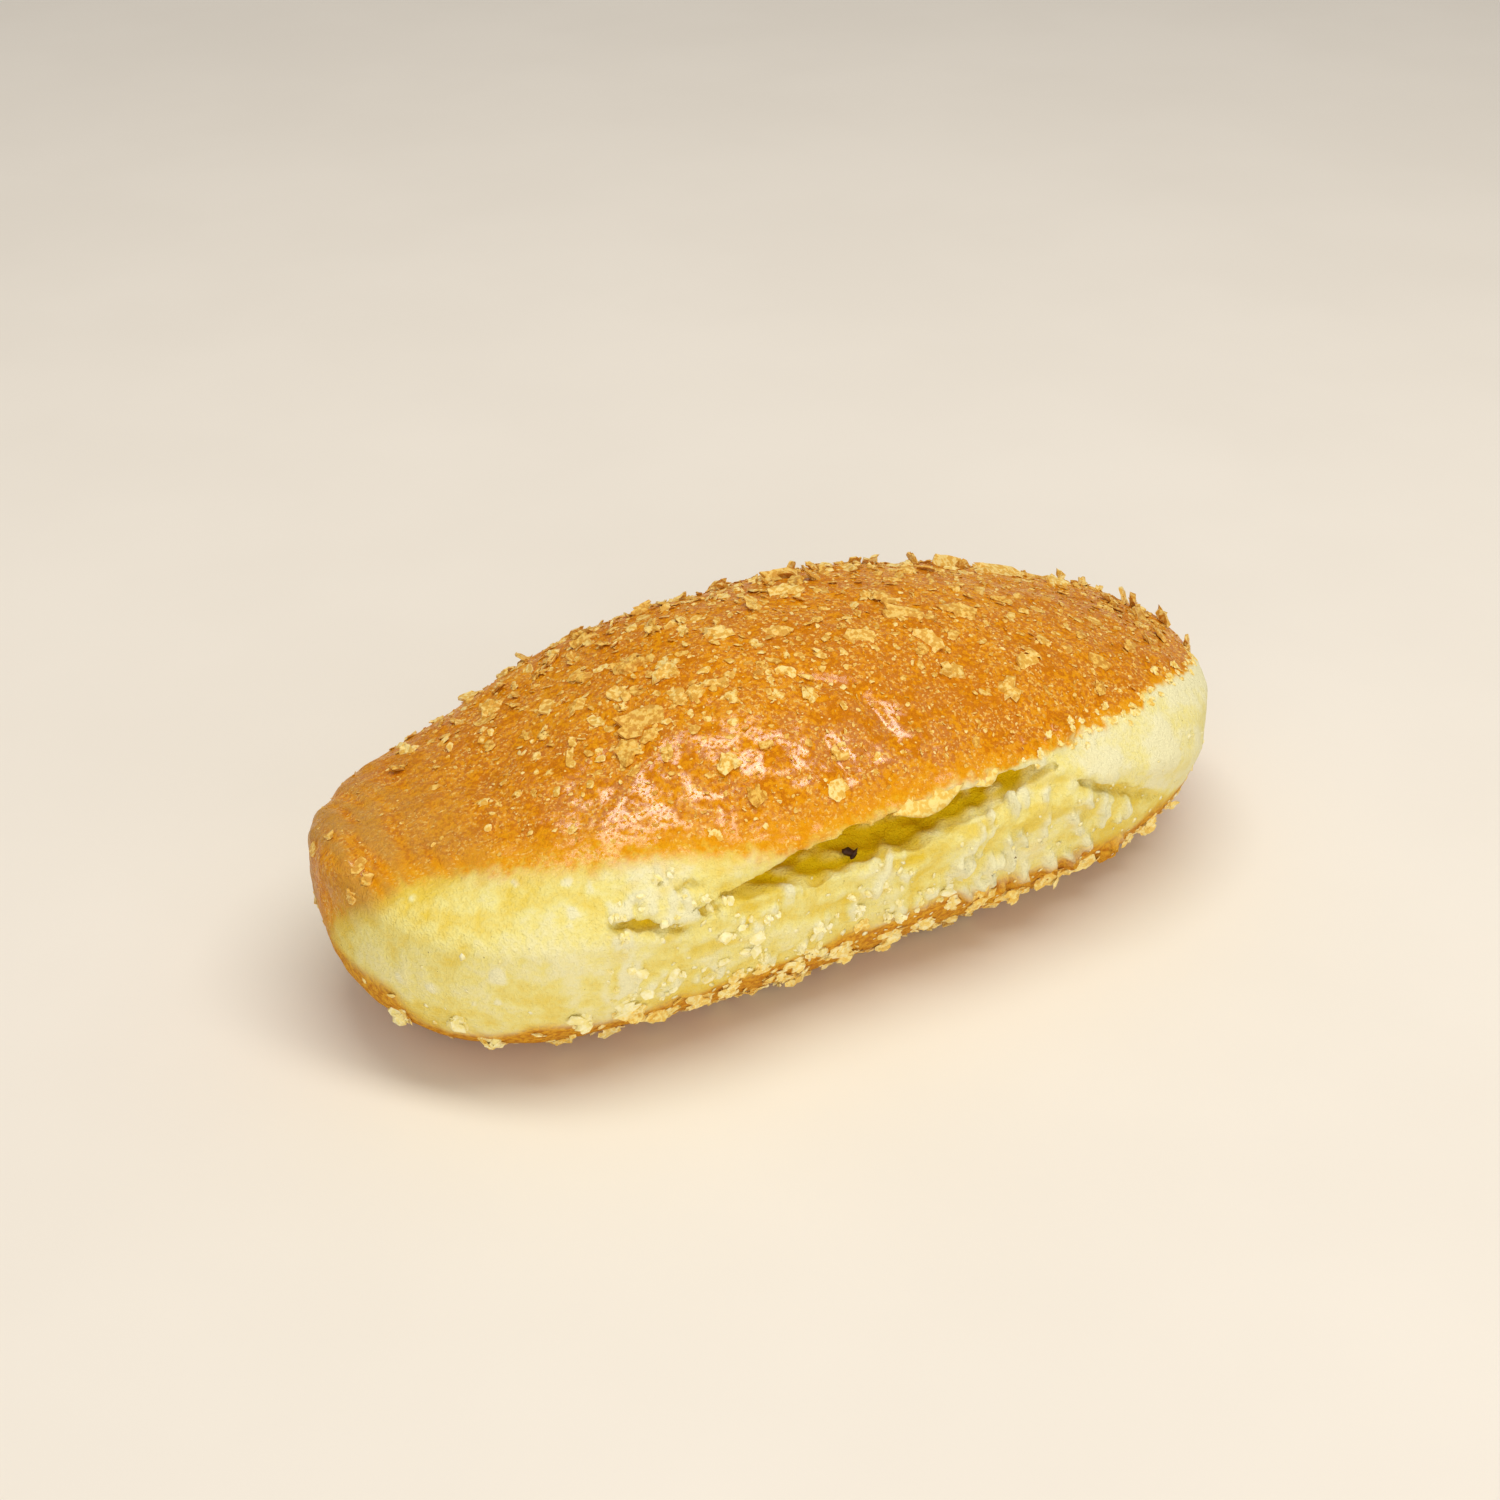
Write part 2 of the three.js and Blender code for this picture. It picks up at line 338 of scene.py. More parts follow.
def degrees_from_crown(places):
    """How far round the bun each point lies from the crown's ridge, on either side."""
    x, y, z = places.T
    s = np.clip(x / HALF_LENGTH, -CLOSED_END, CLOSED_END)
    cosine = (y - SIDE_BOW * s * s) / HALF_WIDTH
    for _ in range(FITTING_ROUNDS):
        share = width_share(s, cosine)
        cosine = np.clip((y - SIDE_BOW * s * s) / (HALF_WIDTH * share), -1, 1)
    rise = (z - WAIST) / ((crown_height(s) - WAIST) * share**CROWN_FULLNESS)
    return np.degrees(np.arctan2(np.abs(cosine), rise))


places = vectors_of(bun.data.vertices, "co")
normals = vectors_of(bun.data.vertex_normals, "vector")
x, y, z = places.T
s = x / HALF_LENGTH
split_side = ease(y, SIDE_CHANGE, -SIDE_CHANGE)
waves = [bumps(kind) for kind in WOBBLES]

strip = bell(s, FAR_STRIP["s"], FAR_STRIP["reach"]) * (1 - split_side)
far_edge = FAR_EDGE["middle"] - FAR_EDGE["less"] * np.maximum(s, 0) ** 2 - FAR_STRIP["less"] * strip
crust_edge = mix(far_edge, near_edge(s), split_side) + unsteady(*EDGE_WOBBLE)
from_crown = degrees_from_crown(places)
to_right = ease(s, *FADE_CHANGE)
fade_below = mix(LEFT_FADE["below"], RIGHT_FADE["below"], to_right)
fade_above = mix(LEFT_FADE["above"], RIGHT_FADE["above"], to_right)
browning = ease(crust_edge - from_crown, -fade_below, fade_above)

wrap_start = mix(LEFT_WRAP["back start"], LEFT_WRAP["start"], split_side)
to_left = unsteady(LEFT_WRAP["end wobble"]) * (1 - split_side) - s
wrap = ease(to_left, wrap_start, LEFT_WRAP["end"])
wrap_line = np.maximum(LEFT_WRAP["height"] + LEFT_WRAP["slope"] * y, LEFT_WRAP["least"])
above_wrap = z - wrap_line + unsteady(*LEFT_WRAP["wobble"])
browning = mix(browning, smooth(above_wrap / LEFT_WRAP["fade"] + 0.5), wrap)
tan = ease(-s, *TAN_END)
print(f"crust: {browning.mean():.2f} of the bun")

# %% [markdown]
# ## Where it is foot, hollow, glossy and palest
# The foot, which lay on the tray, is browned up to a wavy line that is lower at the left. Points that lie
# well behind the formula's wall are inside the split, where the dough never browned; the deeper they lie,
# the darker the yellow they take, partly the dough's own and partly painted shade. Oil shines most along a
# line on the shoulder, and the cheek above the crease at the right is the palest dough. They are measured in
# the same way as the crust.

# %% Measure the other skins
FOOT_LINE = {"middle": 14 * MM, "left end": 9.8 * MM, "change": (-0.8, 0.0), "fade": 3 * MM}
FOOT_WOBBLE = (2.2 * MM, 0.8 * MM)
FOOT_TIP = {"more": 5 * MM, "change": (0.9, 0.98)}  # the foot rises again at the tip of the left end
WALL = {"left": -0.66, "right": 0.8, "low": 12 * MM, "high": 32 * MM, "from crown": 45}  # the split side
# depths over which the hollow mask grows: the browning stops and a darker yellow, partly painted shade, sets
# in
HOLLOW_DEPTH = (0.6 * MM, 2.4 * MM)
RIGHT_BROWNER = {"share": 1.12, "change": (-0.5, 0.0)}
GLOSS_LINE = {-0.53: 30, -0.39: 41, -0.19: 48, 0.03: 52}  # s, and the gloss in degrees from the crown
GLOSS = {"width": 15, "left": (-0.68, -0.56), "right": (0.25, 0.05), "elsewhere": 0.3}
CHEEK = {  # the crease below it as (along the bun, height) in millimetres, where it begins, and its fade
    "start": (22.9, 29.9), "end": (44.2, 16.2), "change": (0.3, 0.5), "fade": 2.5 * MM,
}

foot_line = mix(FOOT_LINE["left end"], FOOT_LINE["middle"], ease(s, *FOOT_LINE["change"]))
foot_line += FOOT_TIP["more"] * ease(-s, *FOOT_TIP["change"]) + unsteady(*FOOT_WOBBLE)
foot = smooth((foot_line - z) / FOOT_LINE["fade"])

in_wall = (y < 0) & (s > WALL["left"]) & (s < WALL["right"]) & (z > WALL["low"]) & (z < WALL["high"])
in_wall &= from_crown > WALL["from crown"]
wall = wall_point(np.clip(x, WALL["left"] * HALF_LENGTH, WALL["right"] * HALF_LENGTH), z)
behind_wall = np.where(in_wall, y - wall[:, 1], 0)
hollow = ease(behind_wall, *HOLLOW_DEPTH)
browning *= (1 - hollow) * mix(1.0, RIGHT_BROWNER["share"], ease(s, *RIGHT_BROWNER["change"]))

gloss_line = np.interp(s, list(GLOSS_LINE), list(GLOSS_LINE.values()))
shine = bell(from_crown, gloss_line, GLOSS["width"]) * split_side
shine *= ease(s, *GLOSS["left"]) * ease(s, *GLOSS["right"])
shine = browning * mix(GLOSS["elsewhere"], 1.0, shine)
cheek_line = line_at(x, CHEEK["start"], CHEEK["end"])[1] * MM
cheek = ease(s, *CHEEK["change"]) * smooth((z - cheek_line) / CHEEK["fade"]) * split_side
print(f"foot {foot.mean():.2f}, hollow {hollow.mean():.3f}, cheek {cheek.mean():.3f} of the bun")

# %% [markdown]
# ## Heaps of torn crumb
# Where the side tore, its crumb stands up in small whitish heaps. Loose pieces laid on the wall would look
# like grains of rice, so each heap is one with the dough: a soft spot with a torn edge, measured here and
# raised with the rest of the relief.

# %% Measure the heaps
HEAPS = [  # s, angle, reach in millimetres, and how many loose crumbs or strings lie there
    (-0.95, 197, 1.2, 0), (-0.91, 136, 0.8, 0), (-0.91, 194, 1.2, 0), (-0.86, 196, 0.8, 0),
    (-0.82, 184, 1.6, 0), (-0.82, 194, 0.8, 0), (-0.74, 134, 0.8, 0), (-0.68, 156, 1.6, 0),
    (-0.66, 140, 1.0, 0), (-0.63, 146, 1.2, 0), (-0.61, 193, 2.2, 3), (-0.60, 160, 2.4, 3),
    (-0.60, 186, 2.6, 3), (-0.55, 160, 2.0, 2), (-0.52, 194, 3.4, 6), (-0.50, 151, 1.5, 2),
    (-0.50, 172, 2.6, 3), (-0.43, 194, 2.4, 3), (-0.42, 171, 2.2, 3), (-0.31, 197, 2.4, 3),
    (-0.27, 176, 2.6, 0), (-0.24, 194, 1.6, 2), (-0.19, 174, 1.2, 0), (-0.19, 190, 2.6, 4),
    (-0.19, 200, 1.8, 3), (-0.12, 167, 1.2, 0), (-0.11, 186, 2.0, 3), (-0.07, 183, 1.8, 2),
    (-0.04, 176, 2.2, 0), (-0.02, 195, 2.2, 4), (-0.01, 183, 1.6, 2), (0.06, 192, 3.4, 7),
    (0.12, 185, 1.8, 3), (0.17, 178, 2.2, 4), (0.17, 195, 2.4, 4), (0.20, 160, 1.6, 1),
    (0.20, 189, 2.0, 4), (0.24, 170, 2.0, 2), (0.24, 187, 1.6, 2), (0.25, 155, 1.4, 1),
    (0.25, 203, 3.2, 6), (0.28, 198, 1.8, 2), (0.31, 153, 1.4, 1), (0.37, 154, 1.4, 1),
    (0.40, 152, 1.2, 1), (0.42, 178, 1.0, 1), (0.42, 199, 1.8, 2), (0.47, 183, 1.4, 1),
    (0.54, 187, 1.4, 1), (0.55, 210, 2.0, 3), (-0.61, 175, 1.2, 1), (-0.48, 161, 1.2, 1),
    (-0.45, 168, 1.4, 2), (-0.41, 182, 1.3, 2), (-0.38, 180, 1.2, 2), (-0.35, 189, 1.3, 2),
    (-0.34, 182, 1.8, 3), (-0.30, 181, 1.5, 2), (-0.12, 189, 1.4, 2), (0.12, 183, 1.4, 2),
]
FLUFF = {
    "size": 1.2 * MM, "shift": 37.0, "stretch": (1, 0.6, 0.5), "height": 0.6 * MM,
    "roughness": 1.6, "bareness": 0.38, "elsewhere": 0.2,
}

nearness = np.zeros(len(places))
for heap_s, heap_angle, heap_reach, _ in HEAPS:
    middle = bun_point(heap_s, math.radians(heap_angle))
    nearness += np.exp(-((places - middle) ** 2).sum(axis=1) / (heap_reach * MM) ** 2)
torn_edge = 1 + FLUFF["roughness"] * bumps(FLUFF)
fluff = smooth(np.minimum(nearness, 1) * torn_edge - FLUFF["bareness"])
print(f"{len(HEAPS)} heaps cover {fluff.mean():.3f} of the bun")

# %% [markdown]
# ## Strings of torn crumb
# On the right half, the crumb was drawn out into strings that hang down over the wall. Tubes along curves
# would look too round and even, so a string is a soft line on the wall with the same torn edge as the heaps.
# The longest ones are listed one by one, and the heaps of that half give the others.

# %% Measure the strings
STRINGS = [  # the longest ones: s, angle, length and width in millimetres, turn in degrees
    (0.32, 177, 6.8, 1.5, 88), (0.24, 172, 3.2, 1.5, 95), (0.41, 187, 7.4, 1.4, -58),
    (0.26, 182, 3.6, 0.9, -60), (0.36, 200, 7.2, 2.0, -72), (0.43, 203, 3.8, 1.7, -80),
    (0.47, 184, 4.4, 1.1, 85), (0.54, 187, 2.8, 1.2, 85), (0.2, 198, 4.4, 1.9, 80),
]
STRINGY_FROM = 0.1  # from this s on, the crumb is torn into strings
STRING = {  # the shorter ones, in millimetres and degrees, and how full and torn all of them are
    "lengths": (1.6, 4.2), "widths": (0.9, 1.5), "hang": 90, "fan": 110,
    "height": 1.05 * MM, "fullness": 1.25, "torn": (0.5, 1.2),
}
RARE_LENGTH = 1.4  # above 1, long crumbs and strings are rarer than short ones
ROUND_RADIUS = 29 * MM  # a mean radius of the bun, to turn a way round it into degrees
LINE_STEPS = 20


def spread(i, base):
    """The i-th number, from 0 to 1, of an even spread. Each thing drawn has a prime base of its own."""
    value = 0.0
    share = 1 / base
    while i > 0:
        value += share * (i % base)
        i //= base
        share /= base
    return value


def step(distance, heading):
    """A short way over the bun, from millimetres to s and degrees."""
    across = math.degrees(distance * math.sin(heading) * MM / ROUND_RADIUS)
    return distance * math.cos(heading) * MM / HALF_LENGTH, across


def scattered(i, s, angle, reach):
    """The i-th place within reach of a given one."""
    ds, turn = step(reach * math.sqrt(spread(i, 2)), 2 * math.pi * spread(i, 3))
    return s + ds, angle + turn


def near_line(places, ends, reach):
    """1 along a line on the bun, given by the s and angle of both ends, fading to 0 within reach of it."""
    (s_1, angle_1), (s_2, angle_2) = ends
    t = np.linspace(0, 1, LINE_STEPS)
    line = bun_point(mix(s_1, s_2, t), np.radians(mix(angle_1, angle_2, t)))
    nearest = np.full(len(places), np.inf)
    for place in line:
        nearest = np.minimum(nearest, ((places - place) ** 2).sum(axis=1))
    return np.exp(-nearest / reach**2)


def string_ends(s, angle, length, width, turn):
    """Both ends of a string as s and angle, and its reach."""
    ds, rise = step(length / 2, math.radians(turn))
    return ((s - ds, angle + rise), (s + ds, angle - rise)), width / 2 * MM


def strings_of_heap(s, angle, reach, count, first):
    """Strings that hang down within reach of a place."""
    rows = []
    for i in range(first, first + count):
        length = mix(*STRING["lengths"], spread(i, 5) ** RARE_LENGTH)
        width = mix(*STRING["widths"], spread(i, 7))
        turn = STRING["hang"] + STRING["fan"] * (spread(i, 11) - 0.5)
        rows.append((*scattered(i, s, angle, reach), length, width, turn))
    return rows


strings = list(STRINGS)
for heap in HEAPS:
    if heap[0] >= STRINGY_FROM:
        strings += strings_of_heap(*heap, first=len(strings) + 1)
stringy = np.zeros(len(places))
on_wall = np.flatnonzero((y < 0) & (s > 0))
for string in strings:
    ends, reach = string_ends(*string)
    stringy[on_wall] = np.maximum(stringy[on_wall], near_line(places[on_wall], ends, reach))
stringy = smooth(STRING["fullness"] * stringy) * np.clip(torn_edge, *STRING["torn"])
print(f"{len(strings)} strings cover {stringy.mean():.3f} of the bun")

# %% [markdown]
# ## Relief of the crust
# A baked crust is never even. It has wide lumps, folds, dimples and a fine orange peel, gathers into wrinkles
# at the left end, and is folded in along a few short creases. Sculpting could give these too. Here each
# corner is moved along its normal by noise of the right size, summed up first and applied once.

# %% Roughen the crust
LUMPS = {"size": 24 * MM, "shift": 3.0, "height": 0.55 * MM}
FOLDS = {"size": 11 * MM, "shift": 41.0, "stretch": (0.5, 1, 1), "height": 0.7 * MM}
WRINKLES = {"size": 1.6 * MM, "shift": 11.0, "stretch": (1, 0.2, 0.3), "height": 0.4 * MM}
GATHERS = {"size": 5 * MM, "shift": 13.0, "stretch": (1, 0.28, 0.4), "height": 0.8 * MM}
DIMPLES = {"size": 4.5 * MM, "shift": 5.0, "height": 0.3 * MM}
PEEL = {"size": 1.5 * MM, "shift": 17.0, "height": 0.08 * MM}
TAN_STREAKS = {"share": 0.6, "gathers": 0.8}  # the tan shows most where wrinkles and gathers stand up
CREASES = [  # both ends as s and angle, where the crust is folded in
    ((-0.67, 91), (-0.674, 122)), ((0.02, 125), (0.043, 143)), ((-0.106, 134), (-0.094, 146)),
    ((-0.32, 139), (-0.35, 155)), ((-0.075, 114), (0.004, 120)),
]
CREASE = {"reach": 1.3 * MM, "depth": 0.45 * MM}

wrinkles = bumps(WRINKLES)
gathers = bumps(GATHERS)
relief = LUMPS["height"] * bumps(LUMPS)
for kind in (FOLDS, DIMPLES, PEEL):
    relief += kind["height"] * bumps(kind) * browning
relief += (WRINKLES["height"] * wrinkles + GATHERS["height"] * gathers) * tan * browning
for crease in CREASES:
    relief -= CREASE["depth"] * near_line(places, crease, CREASE["reach"]) * browning
tan *= smooth(TAN_STREAKS["share"] + wrinkles + TAN_STREAKS["gathers"] * gathers)
print(f"relief of the crust: {relief.min() / MM:.2f} to {relief.max() / MM:.2f} mm")

# %% [markdown]
# ## Relief of the dough
# The pale side is soft and pillowy with a fine grain, and ragged where it tore. The heaps and strings of torn
# crumb stand on top of that. It is made in the same way as the crust's relief, and its noise is kept because
# it also tells how pale each spot is.

# %% Roughen the dough
PILLOWS = {"size": 6.5 * MM, "shift": 23.0, "stretch": (0.7, 1, 1), "height": 0.5 * MM, "elsewhere": 0.4}
DOUGH_GRAIN = {"size": 2 * MM, "shift": 31.0, "height": 0.14 * MM}
TORN = {"size": 1.8 * MM, "shift": 29.0, "stretch": (0.5, 1, 1), "height": 0.8 * MM}
BY_SPLIT = {"left": (-47 * MM, -38 * MM), "right": (44 * MM, 28 * MM)}  # where along the bun the side tore
TORN_BAND = {"height": 22.5 * MM, "reach": 7 * MM, "share": 0.8}
TORN_DEPTH = 1.5 * MM  # everything further behind the wall is ragged

by_split = ease(x, *BY_SPLIT["left"]) * ease(x, *BY_SPLIT["right"]) * in_wall
torn = smooth(behind_wall / TORN_DEPTH)
torn += TORN_BAND["share"] * by_split * bell(z, TORN_BAND["height"], TORN_BAND["reach"])
torn = np.minimum(torn, 1)
pillows = bumps(PILLOWS)
dough_grain = bumps(DOUGH_GRAIN)
ragged = bumps(TORN) * torn
relief += PILLOWS["height"] * pillows * (1 - browning) * mix(PILLOWS["elsewhere"], 1.0, by_split)
relief += DOUGH_GRAIN["height"] * dough_grain * (1 - browning)
relief += TORN["height"] * ragged + STRING["height"] * stringy
relief += FLUFF["height"] * fluff * mix(FLUFF["elsewhere"], 1.0, by_split)
print(f"relief of crust and dough: {relief.min() / MM:.2f} to {relief.max() / MM:.2f} mm")

# %% [markdown]
# ## How pale the dough is
# The dough runs from yellow to nearly white. It is palest on the cheek, on the lip, on torn crumb and
# wherever a pillow, the grain or ragged crumb stands out, so that the dips between them are yellower,
# partly blotches of the dough and partly painted shade. Thin streaks of the hollow's darker yellow run
# over the torn wall. A painted mask could hold this, but a sum of soft areas can be changed one area at a
# time.

# %% Measure the paleness
PALER = {  # how much paler each of these makes the dough
    "base": 0.5, "pillows": 0.9, "grain": 0.5, "cheek": 1.2, "low left": 0.4, "patch": 0.5, "torn side": 0.25,
    "lip": 0.4, "right of middle": 0.4, "left end": -0.15, "ragged": 0.8, "torn crumb": 1.4,
}
LOW_LEFT = {"height": (24 * MM, 16 * MM), "change": (0.4, 0.6)}
PALE_PATCH = {"x": -50 * MM, "z": 23 * MM, "length": 13 * MM, "height": 6 * MM}
LIP = {"height": 29 * MM, "reach": 3 * MM}
RIGHT_OF_MIDDLE = {"s": 0.25, "reach": 0.25}
YELLOW_END = (0.7, 0.85)
PALEST = 2
STREAKS = {"size": 2 * MM, "shift": 43.0, "stretch": (0.35, 1, 1)}
STREAK = {"sharpness": 4.5, "start": 0.3, "share": 0.65}
HOLLOW_RAGS = {"sharpness": 2, "share": 0.5}

low_left = ease(z, *LOW_LEFT["height"]) * ease(-s, *LOW_LEFT["change"]) * split_side
patch = bell(x, PALE_PATCH["x"], PALE_PATCH["length"]) * bell(z, PALE_PATCH["z"], PALE_PATCH["height"])
right_of_middle = smooth(1 - np.abs(s - RIGHT_OF_MIDDLE["s"]) / RIGHT_OF_MIDDLE["reach"])
torn_crumb = np.maximum(fluff, stringy)
# paler where pillows, grain and ragged crumb stand out and yellower in their dips: partly the dough's
# blotches, partly painted shade
pale = smooth(PALER["base"] + PALER["pillows"] * pillows + PALER["grain"] * dough_grain)
pale += PALER["cheek"] * cheek + PALER["low left"] * low_left + PALER["patch"] * patch * split_side
pale += by_split * (PALER["torn side"] + PALER["lip"] * bell(z, LIP["height"], LIP["reach"]))
pale += PALER["right of middle"] * right_of_middle * split_side + PALER["left end"] * ease(-s, *YELLOW_END)
pale = np.clip(pale + PALER["ragged"] * ragged + PALER["torn crumb"] * torn_crumb, 0, PALEST)
# streaks of the hollow's darker yellow, partly painted shade; that shade thins where ragged crumb stands out
streaks = smooth(STREAK["sharpness"] * bumps(STREAKS) - STREAK["start"]) * torn * (1 - cheek)
hollow *= 1 - HOLLOW_RAGS["share"] * smooth(HOLLOW_RAGS["sharpness"] * ragged)
hollow = np.maximum(hollow, STREAK["share"] * streaks) * (1 - np.clip(torn_crumb, 0, 1))
print(f"paleness of the dough: {pale[browning < 0.1].mean():.2f} of {PALEST}")

# %% [markdown]
# ## Write it all into the mesh
# The relief moves the corners, while the flat foot keeps lying on the table. A Displace modifier could do
# it, but would need a texture for each kind of noise. Each measured skin becomes an attribute of the mesh,
# one number a corner, under the name that the material will ask for.

# %% Move the corners and store the skins
FLAT_FOOT = 0.5 * MM  # below this height the bun lies on the table

moved = places + normals * relief[:, None]
moved[:, 2] = np.where(z < FLAT_FOOT, 0.0, np.maximum(moved[:, 2], 0.0))
bun.data.vertices.foreach_set("co", moved.ravel())
measures = {"browning": browning, "shine": shine, "foot": foot, "hollow": hollow, "tan": tan, "pale": pale}
for name, values in measures.items():
    bun.data.attributes.new(name, "FLOAT", "POINT").data.foreach_set("value", values)
bun.data.shade_smooth()
bun.data.update()
print("attributes of the bun:", ", ".join(measures))

# %% [markdown]
# ## Shared effects
# Crust, dough and crumbs are all blotchy and all grainy, only at other sizes. Those two effects are node
# groups, made once and placed in each material with its own values: mottle gives a soft mask of blotches,
# and grain gives a height for a Bump node. Small helpers keep the node code readable.

# %% Node helpers and shared groups
def feed(tree, socket, value):
    """Links a socket to another one, or sets its value."""
    if isinstance(value, bpy.types.NodeSocket):
        tree.links.new(value, socket)
    else:
        socket.default_value = value


def add(tree, kind, inputs=None, **settings):
    made = tree.nodes.new("ShaderNode" + kind)
    for name, value in settings.items():
        setattr(made, name, value)
    for name, value in (inputs or {}).items():
        feed(tree, made.inputs[name], value)
    return made


def calculate(tree, operation, first, second):
    made = tree.nodes.new("ShaderNodeMath")
    made.operation = operation
    feed(tree, made.inputs[0], first)
    feed(tree, made.inputs[1], second)
    return made.outputs[0]


def times(tree, first, second):
    return calculate(tree, "MULTIPLY", first, second)


def plus(tree, first, second):
    return calculate(tree, "ADD", first, second)


def span(tree, value, low, high):
    """Eases from 0 to 1 as a value goes from low to high."""
    ranged = {"Value": value, "From Min": low, "From Max": high}
    return add(tree, "MapRange", ranged, interpolation_type="SMOOTHSTEP").outputs["Result"]


def new_group(name, inputs, output):
    tree = bpy.data.node_groups.new(name, "ShaderNodeTree")
    for socket_name, value in inputs.items():
        socket = tree.interface.new_socket(socket_name, in_out="INPUT", socket_type="NodeSocketFloat")
        socket.default_value = value
    tree.interface.new_socket(output, in_out="OUTPUT", socket_type="NodeSocketFloat")
    return tree, tree.nodes.new("NodeGroupInput").outputs, tree.nodes.new("NodeGroupOutput").inputs


def noise_of_size(tree, size, detail):
    place = add(tree, "TexCoord").outputs["Object"]
    scale = calculate(tree, "DIVIDE", 1.0, size)
    return add(tree, "TexNoise", {"Vector": place, "Scale": scale, "Detail": detail}).outputs["Fac"]


BLOTCH_DETAIL = 3.0
GRAIN_DETAIL = 2.0
FINER = 0.37  # size of the fine grain as a share of the coarse one

mottle, given, result = new_group("mottle", {"Size": 5 * MM, "Low": 0.4, "High": 0.6}, "Mask")
blotches = noise_of_size(mottle, given["Size"], BLOTCH_DETAIL)
feed(mottle, result["Mask"], span(mottle, blotches, given["Low"], given["High"]))

grain, given, result = new_group("grain", {"Size": 1 * MM, "Fine": 0.4}, "Height")
coarse = noise_of_size(grain, given["Size"], GRAIN_DETAIL)
fine = noise_of_size(grain, times(grain, given["Size"], FINER), GRAIN_DETAIL)
feed(grain, result["Height"], plus(grain, coarse, times(grain, fine, given["Fine"])))


def use_group(tree, group, output, **values):
    made = tree.nodes.new("ShaderNodeGroup")
    made.node_tree = group
    for name, value in values.items():
        made.inputs[name].default_value = value
    return made.outputs[output]


print("shared groups:", [group.name for group in bpy.data.node_groups])

# %% [markdown]
# ## Colours of the bun
# The dough is white to yellow, the crust gold to brown, the foot has two tones of its own, and light and dark
# specks break both up. The light specks on the crust are partly crumb dust and partly painted glints of its
# oily gloss, and the hollow's darker yellow is partly painted shade. A picture of crust could be laid on
# instead, but named colours can be mixed by the measured skins. Each is red, green, blue and opacity, in
# linear light.

# %% Colours of the bun
WHITE_DOUGH = (0.88, 0.82, 0.50, 1)
CREAM = (0.87, 0.76, 0.27, 1)
YELLOW_DOUGH = (0.82, 0.60, 0.08, 1)
GOLD = (0.80, 0.50, 0.05, 1)
ORANGE = (0.82, 0.345, 0.004, 1)
CHESTNUT = (0.76, 0.285, 0.002, 1)
BROWN = (0.60, 0.185, 0.001, 1)
TAN = (0.56, 0.29, 0.05, 1)
# the hollow's darker yellow: partly the dough's own colour, partly painted shade deep in the split
HOLLOW_YELLOW_AND_SHADE = (0.78, 0.53, 0.004, 1)
FOOT_GOLD = (0.78, 0.40, 0.03, 1)
FOOT_BROWN = (0.56, 0.21, 0.015, 1)
# light specks of the crust: partly crumb dust, partly painted glints of its gloss
DUST_AND_GLINT_SPECK = (0.95, 0.62, 0.15, 1)
DARK_SPECK = (0.20, 0.12, 0.03, 1)
print("dough from", WHITE_DOUGH[:3], "and crust down to", BROWN[:3])

# %% [markdown]
# ## The bun's skin
# One material covers the bun. It reads the measured skins from the mesh: the browning runs through a ramp
# from pale dough over gold and orange to brown, the foot and the hollow's darker yellow, which is partly
# painted shade, are blended over it, light specks add painted glints besides crumb dust, and mottle breaks
# every edge. Crust is oily in small spots, which a coat gives it, and smoother than dough.

# %% The bun's material
UNEVEN = {"least": 0.45, "small": 0.52, "wide": 0.22}  # how much of the browning shows, and what blotches add
SPONGE = 0.3  # how much paler small blotches make the dough
DUST_AND_GLINT_STRENGTH = 0.7
TAN_STRENGTH = 0.75
FULL_CRUST = 0.5  # from this browning on, no dough shows through
ROUGHNESS = {"dough": 0.65, "less": 0.2}
OIL = {"Coat Roughness": 0.17, "Coat IOR": 1.8, "Specular IOR Level": 0.06}
PEEL_HEIGHT = 0.3 * MM


def new_material(name):
    material = bpy.data.materials.new(name)
    material.use_nodes = True
    return material, material.node_tree, material.node_tree.nodes["Principled BSDF"].inputs


def measured(tree, name):
    return add(tree, "Attribute", attribute_name=name).outputs["Fac"]


def blend(tree, factor, first, second):
    made = add(tree, "Mix", data_type="RGBA")
    sockets = {socket.identifier: socket for socket in made.inputs}
    feed(tree, sockets["Factor_Float"], factor)
    feed(tree, sockets["A_Color"], first)
    feed(tree, sockets["B_Color"], second)
    return next(socket for socket in made.outputs if socket.identifier == "Result_Color")


def ramp(tree, factor, stops):
    """A colour ramp through stops of (place, colour), the first and the last at its ends."""
    made = add(tree, "ValToRGB", {"Fac": factor})
    band = made.color_ramp
    band.elements[0].position, band.elements[0].color = stops[0]
    band.elements[1].position, band.elements[1].color = stops[-1]
    for place, colour in stops[1:-1]:
        band.elements.new(place).color = colour
    return made.outputs["Color"]


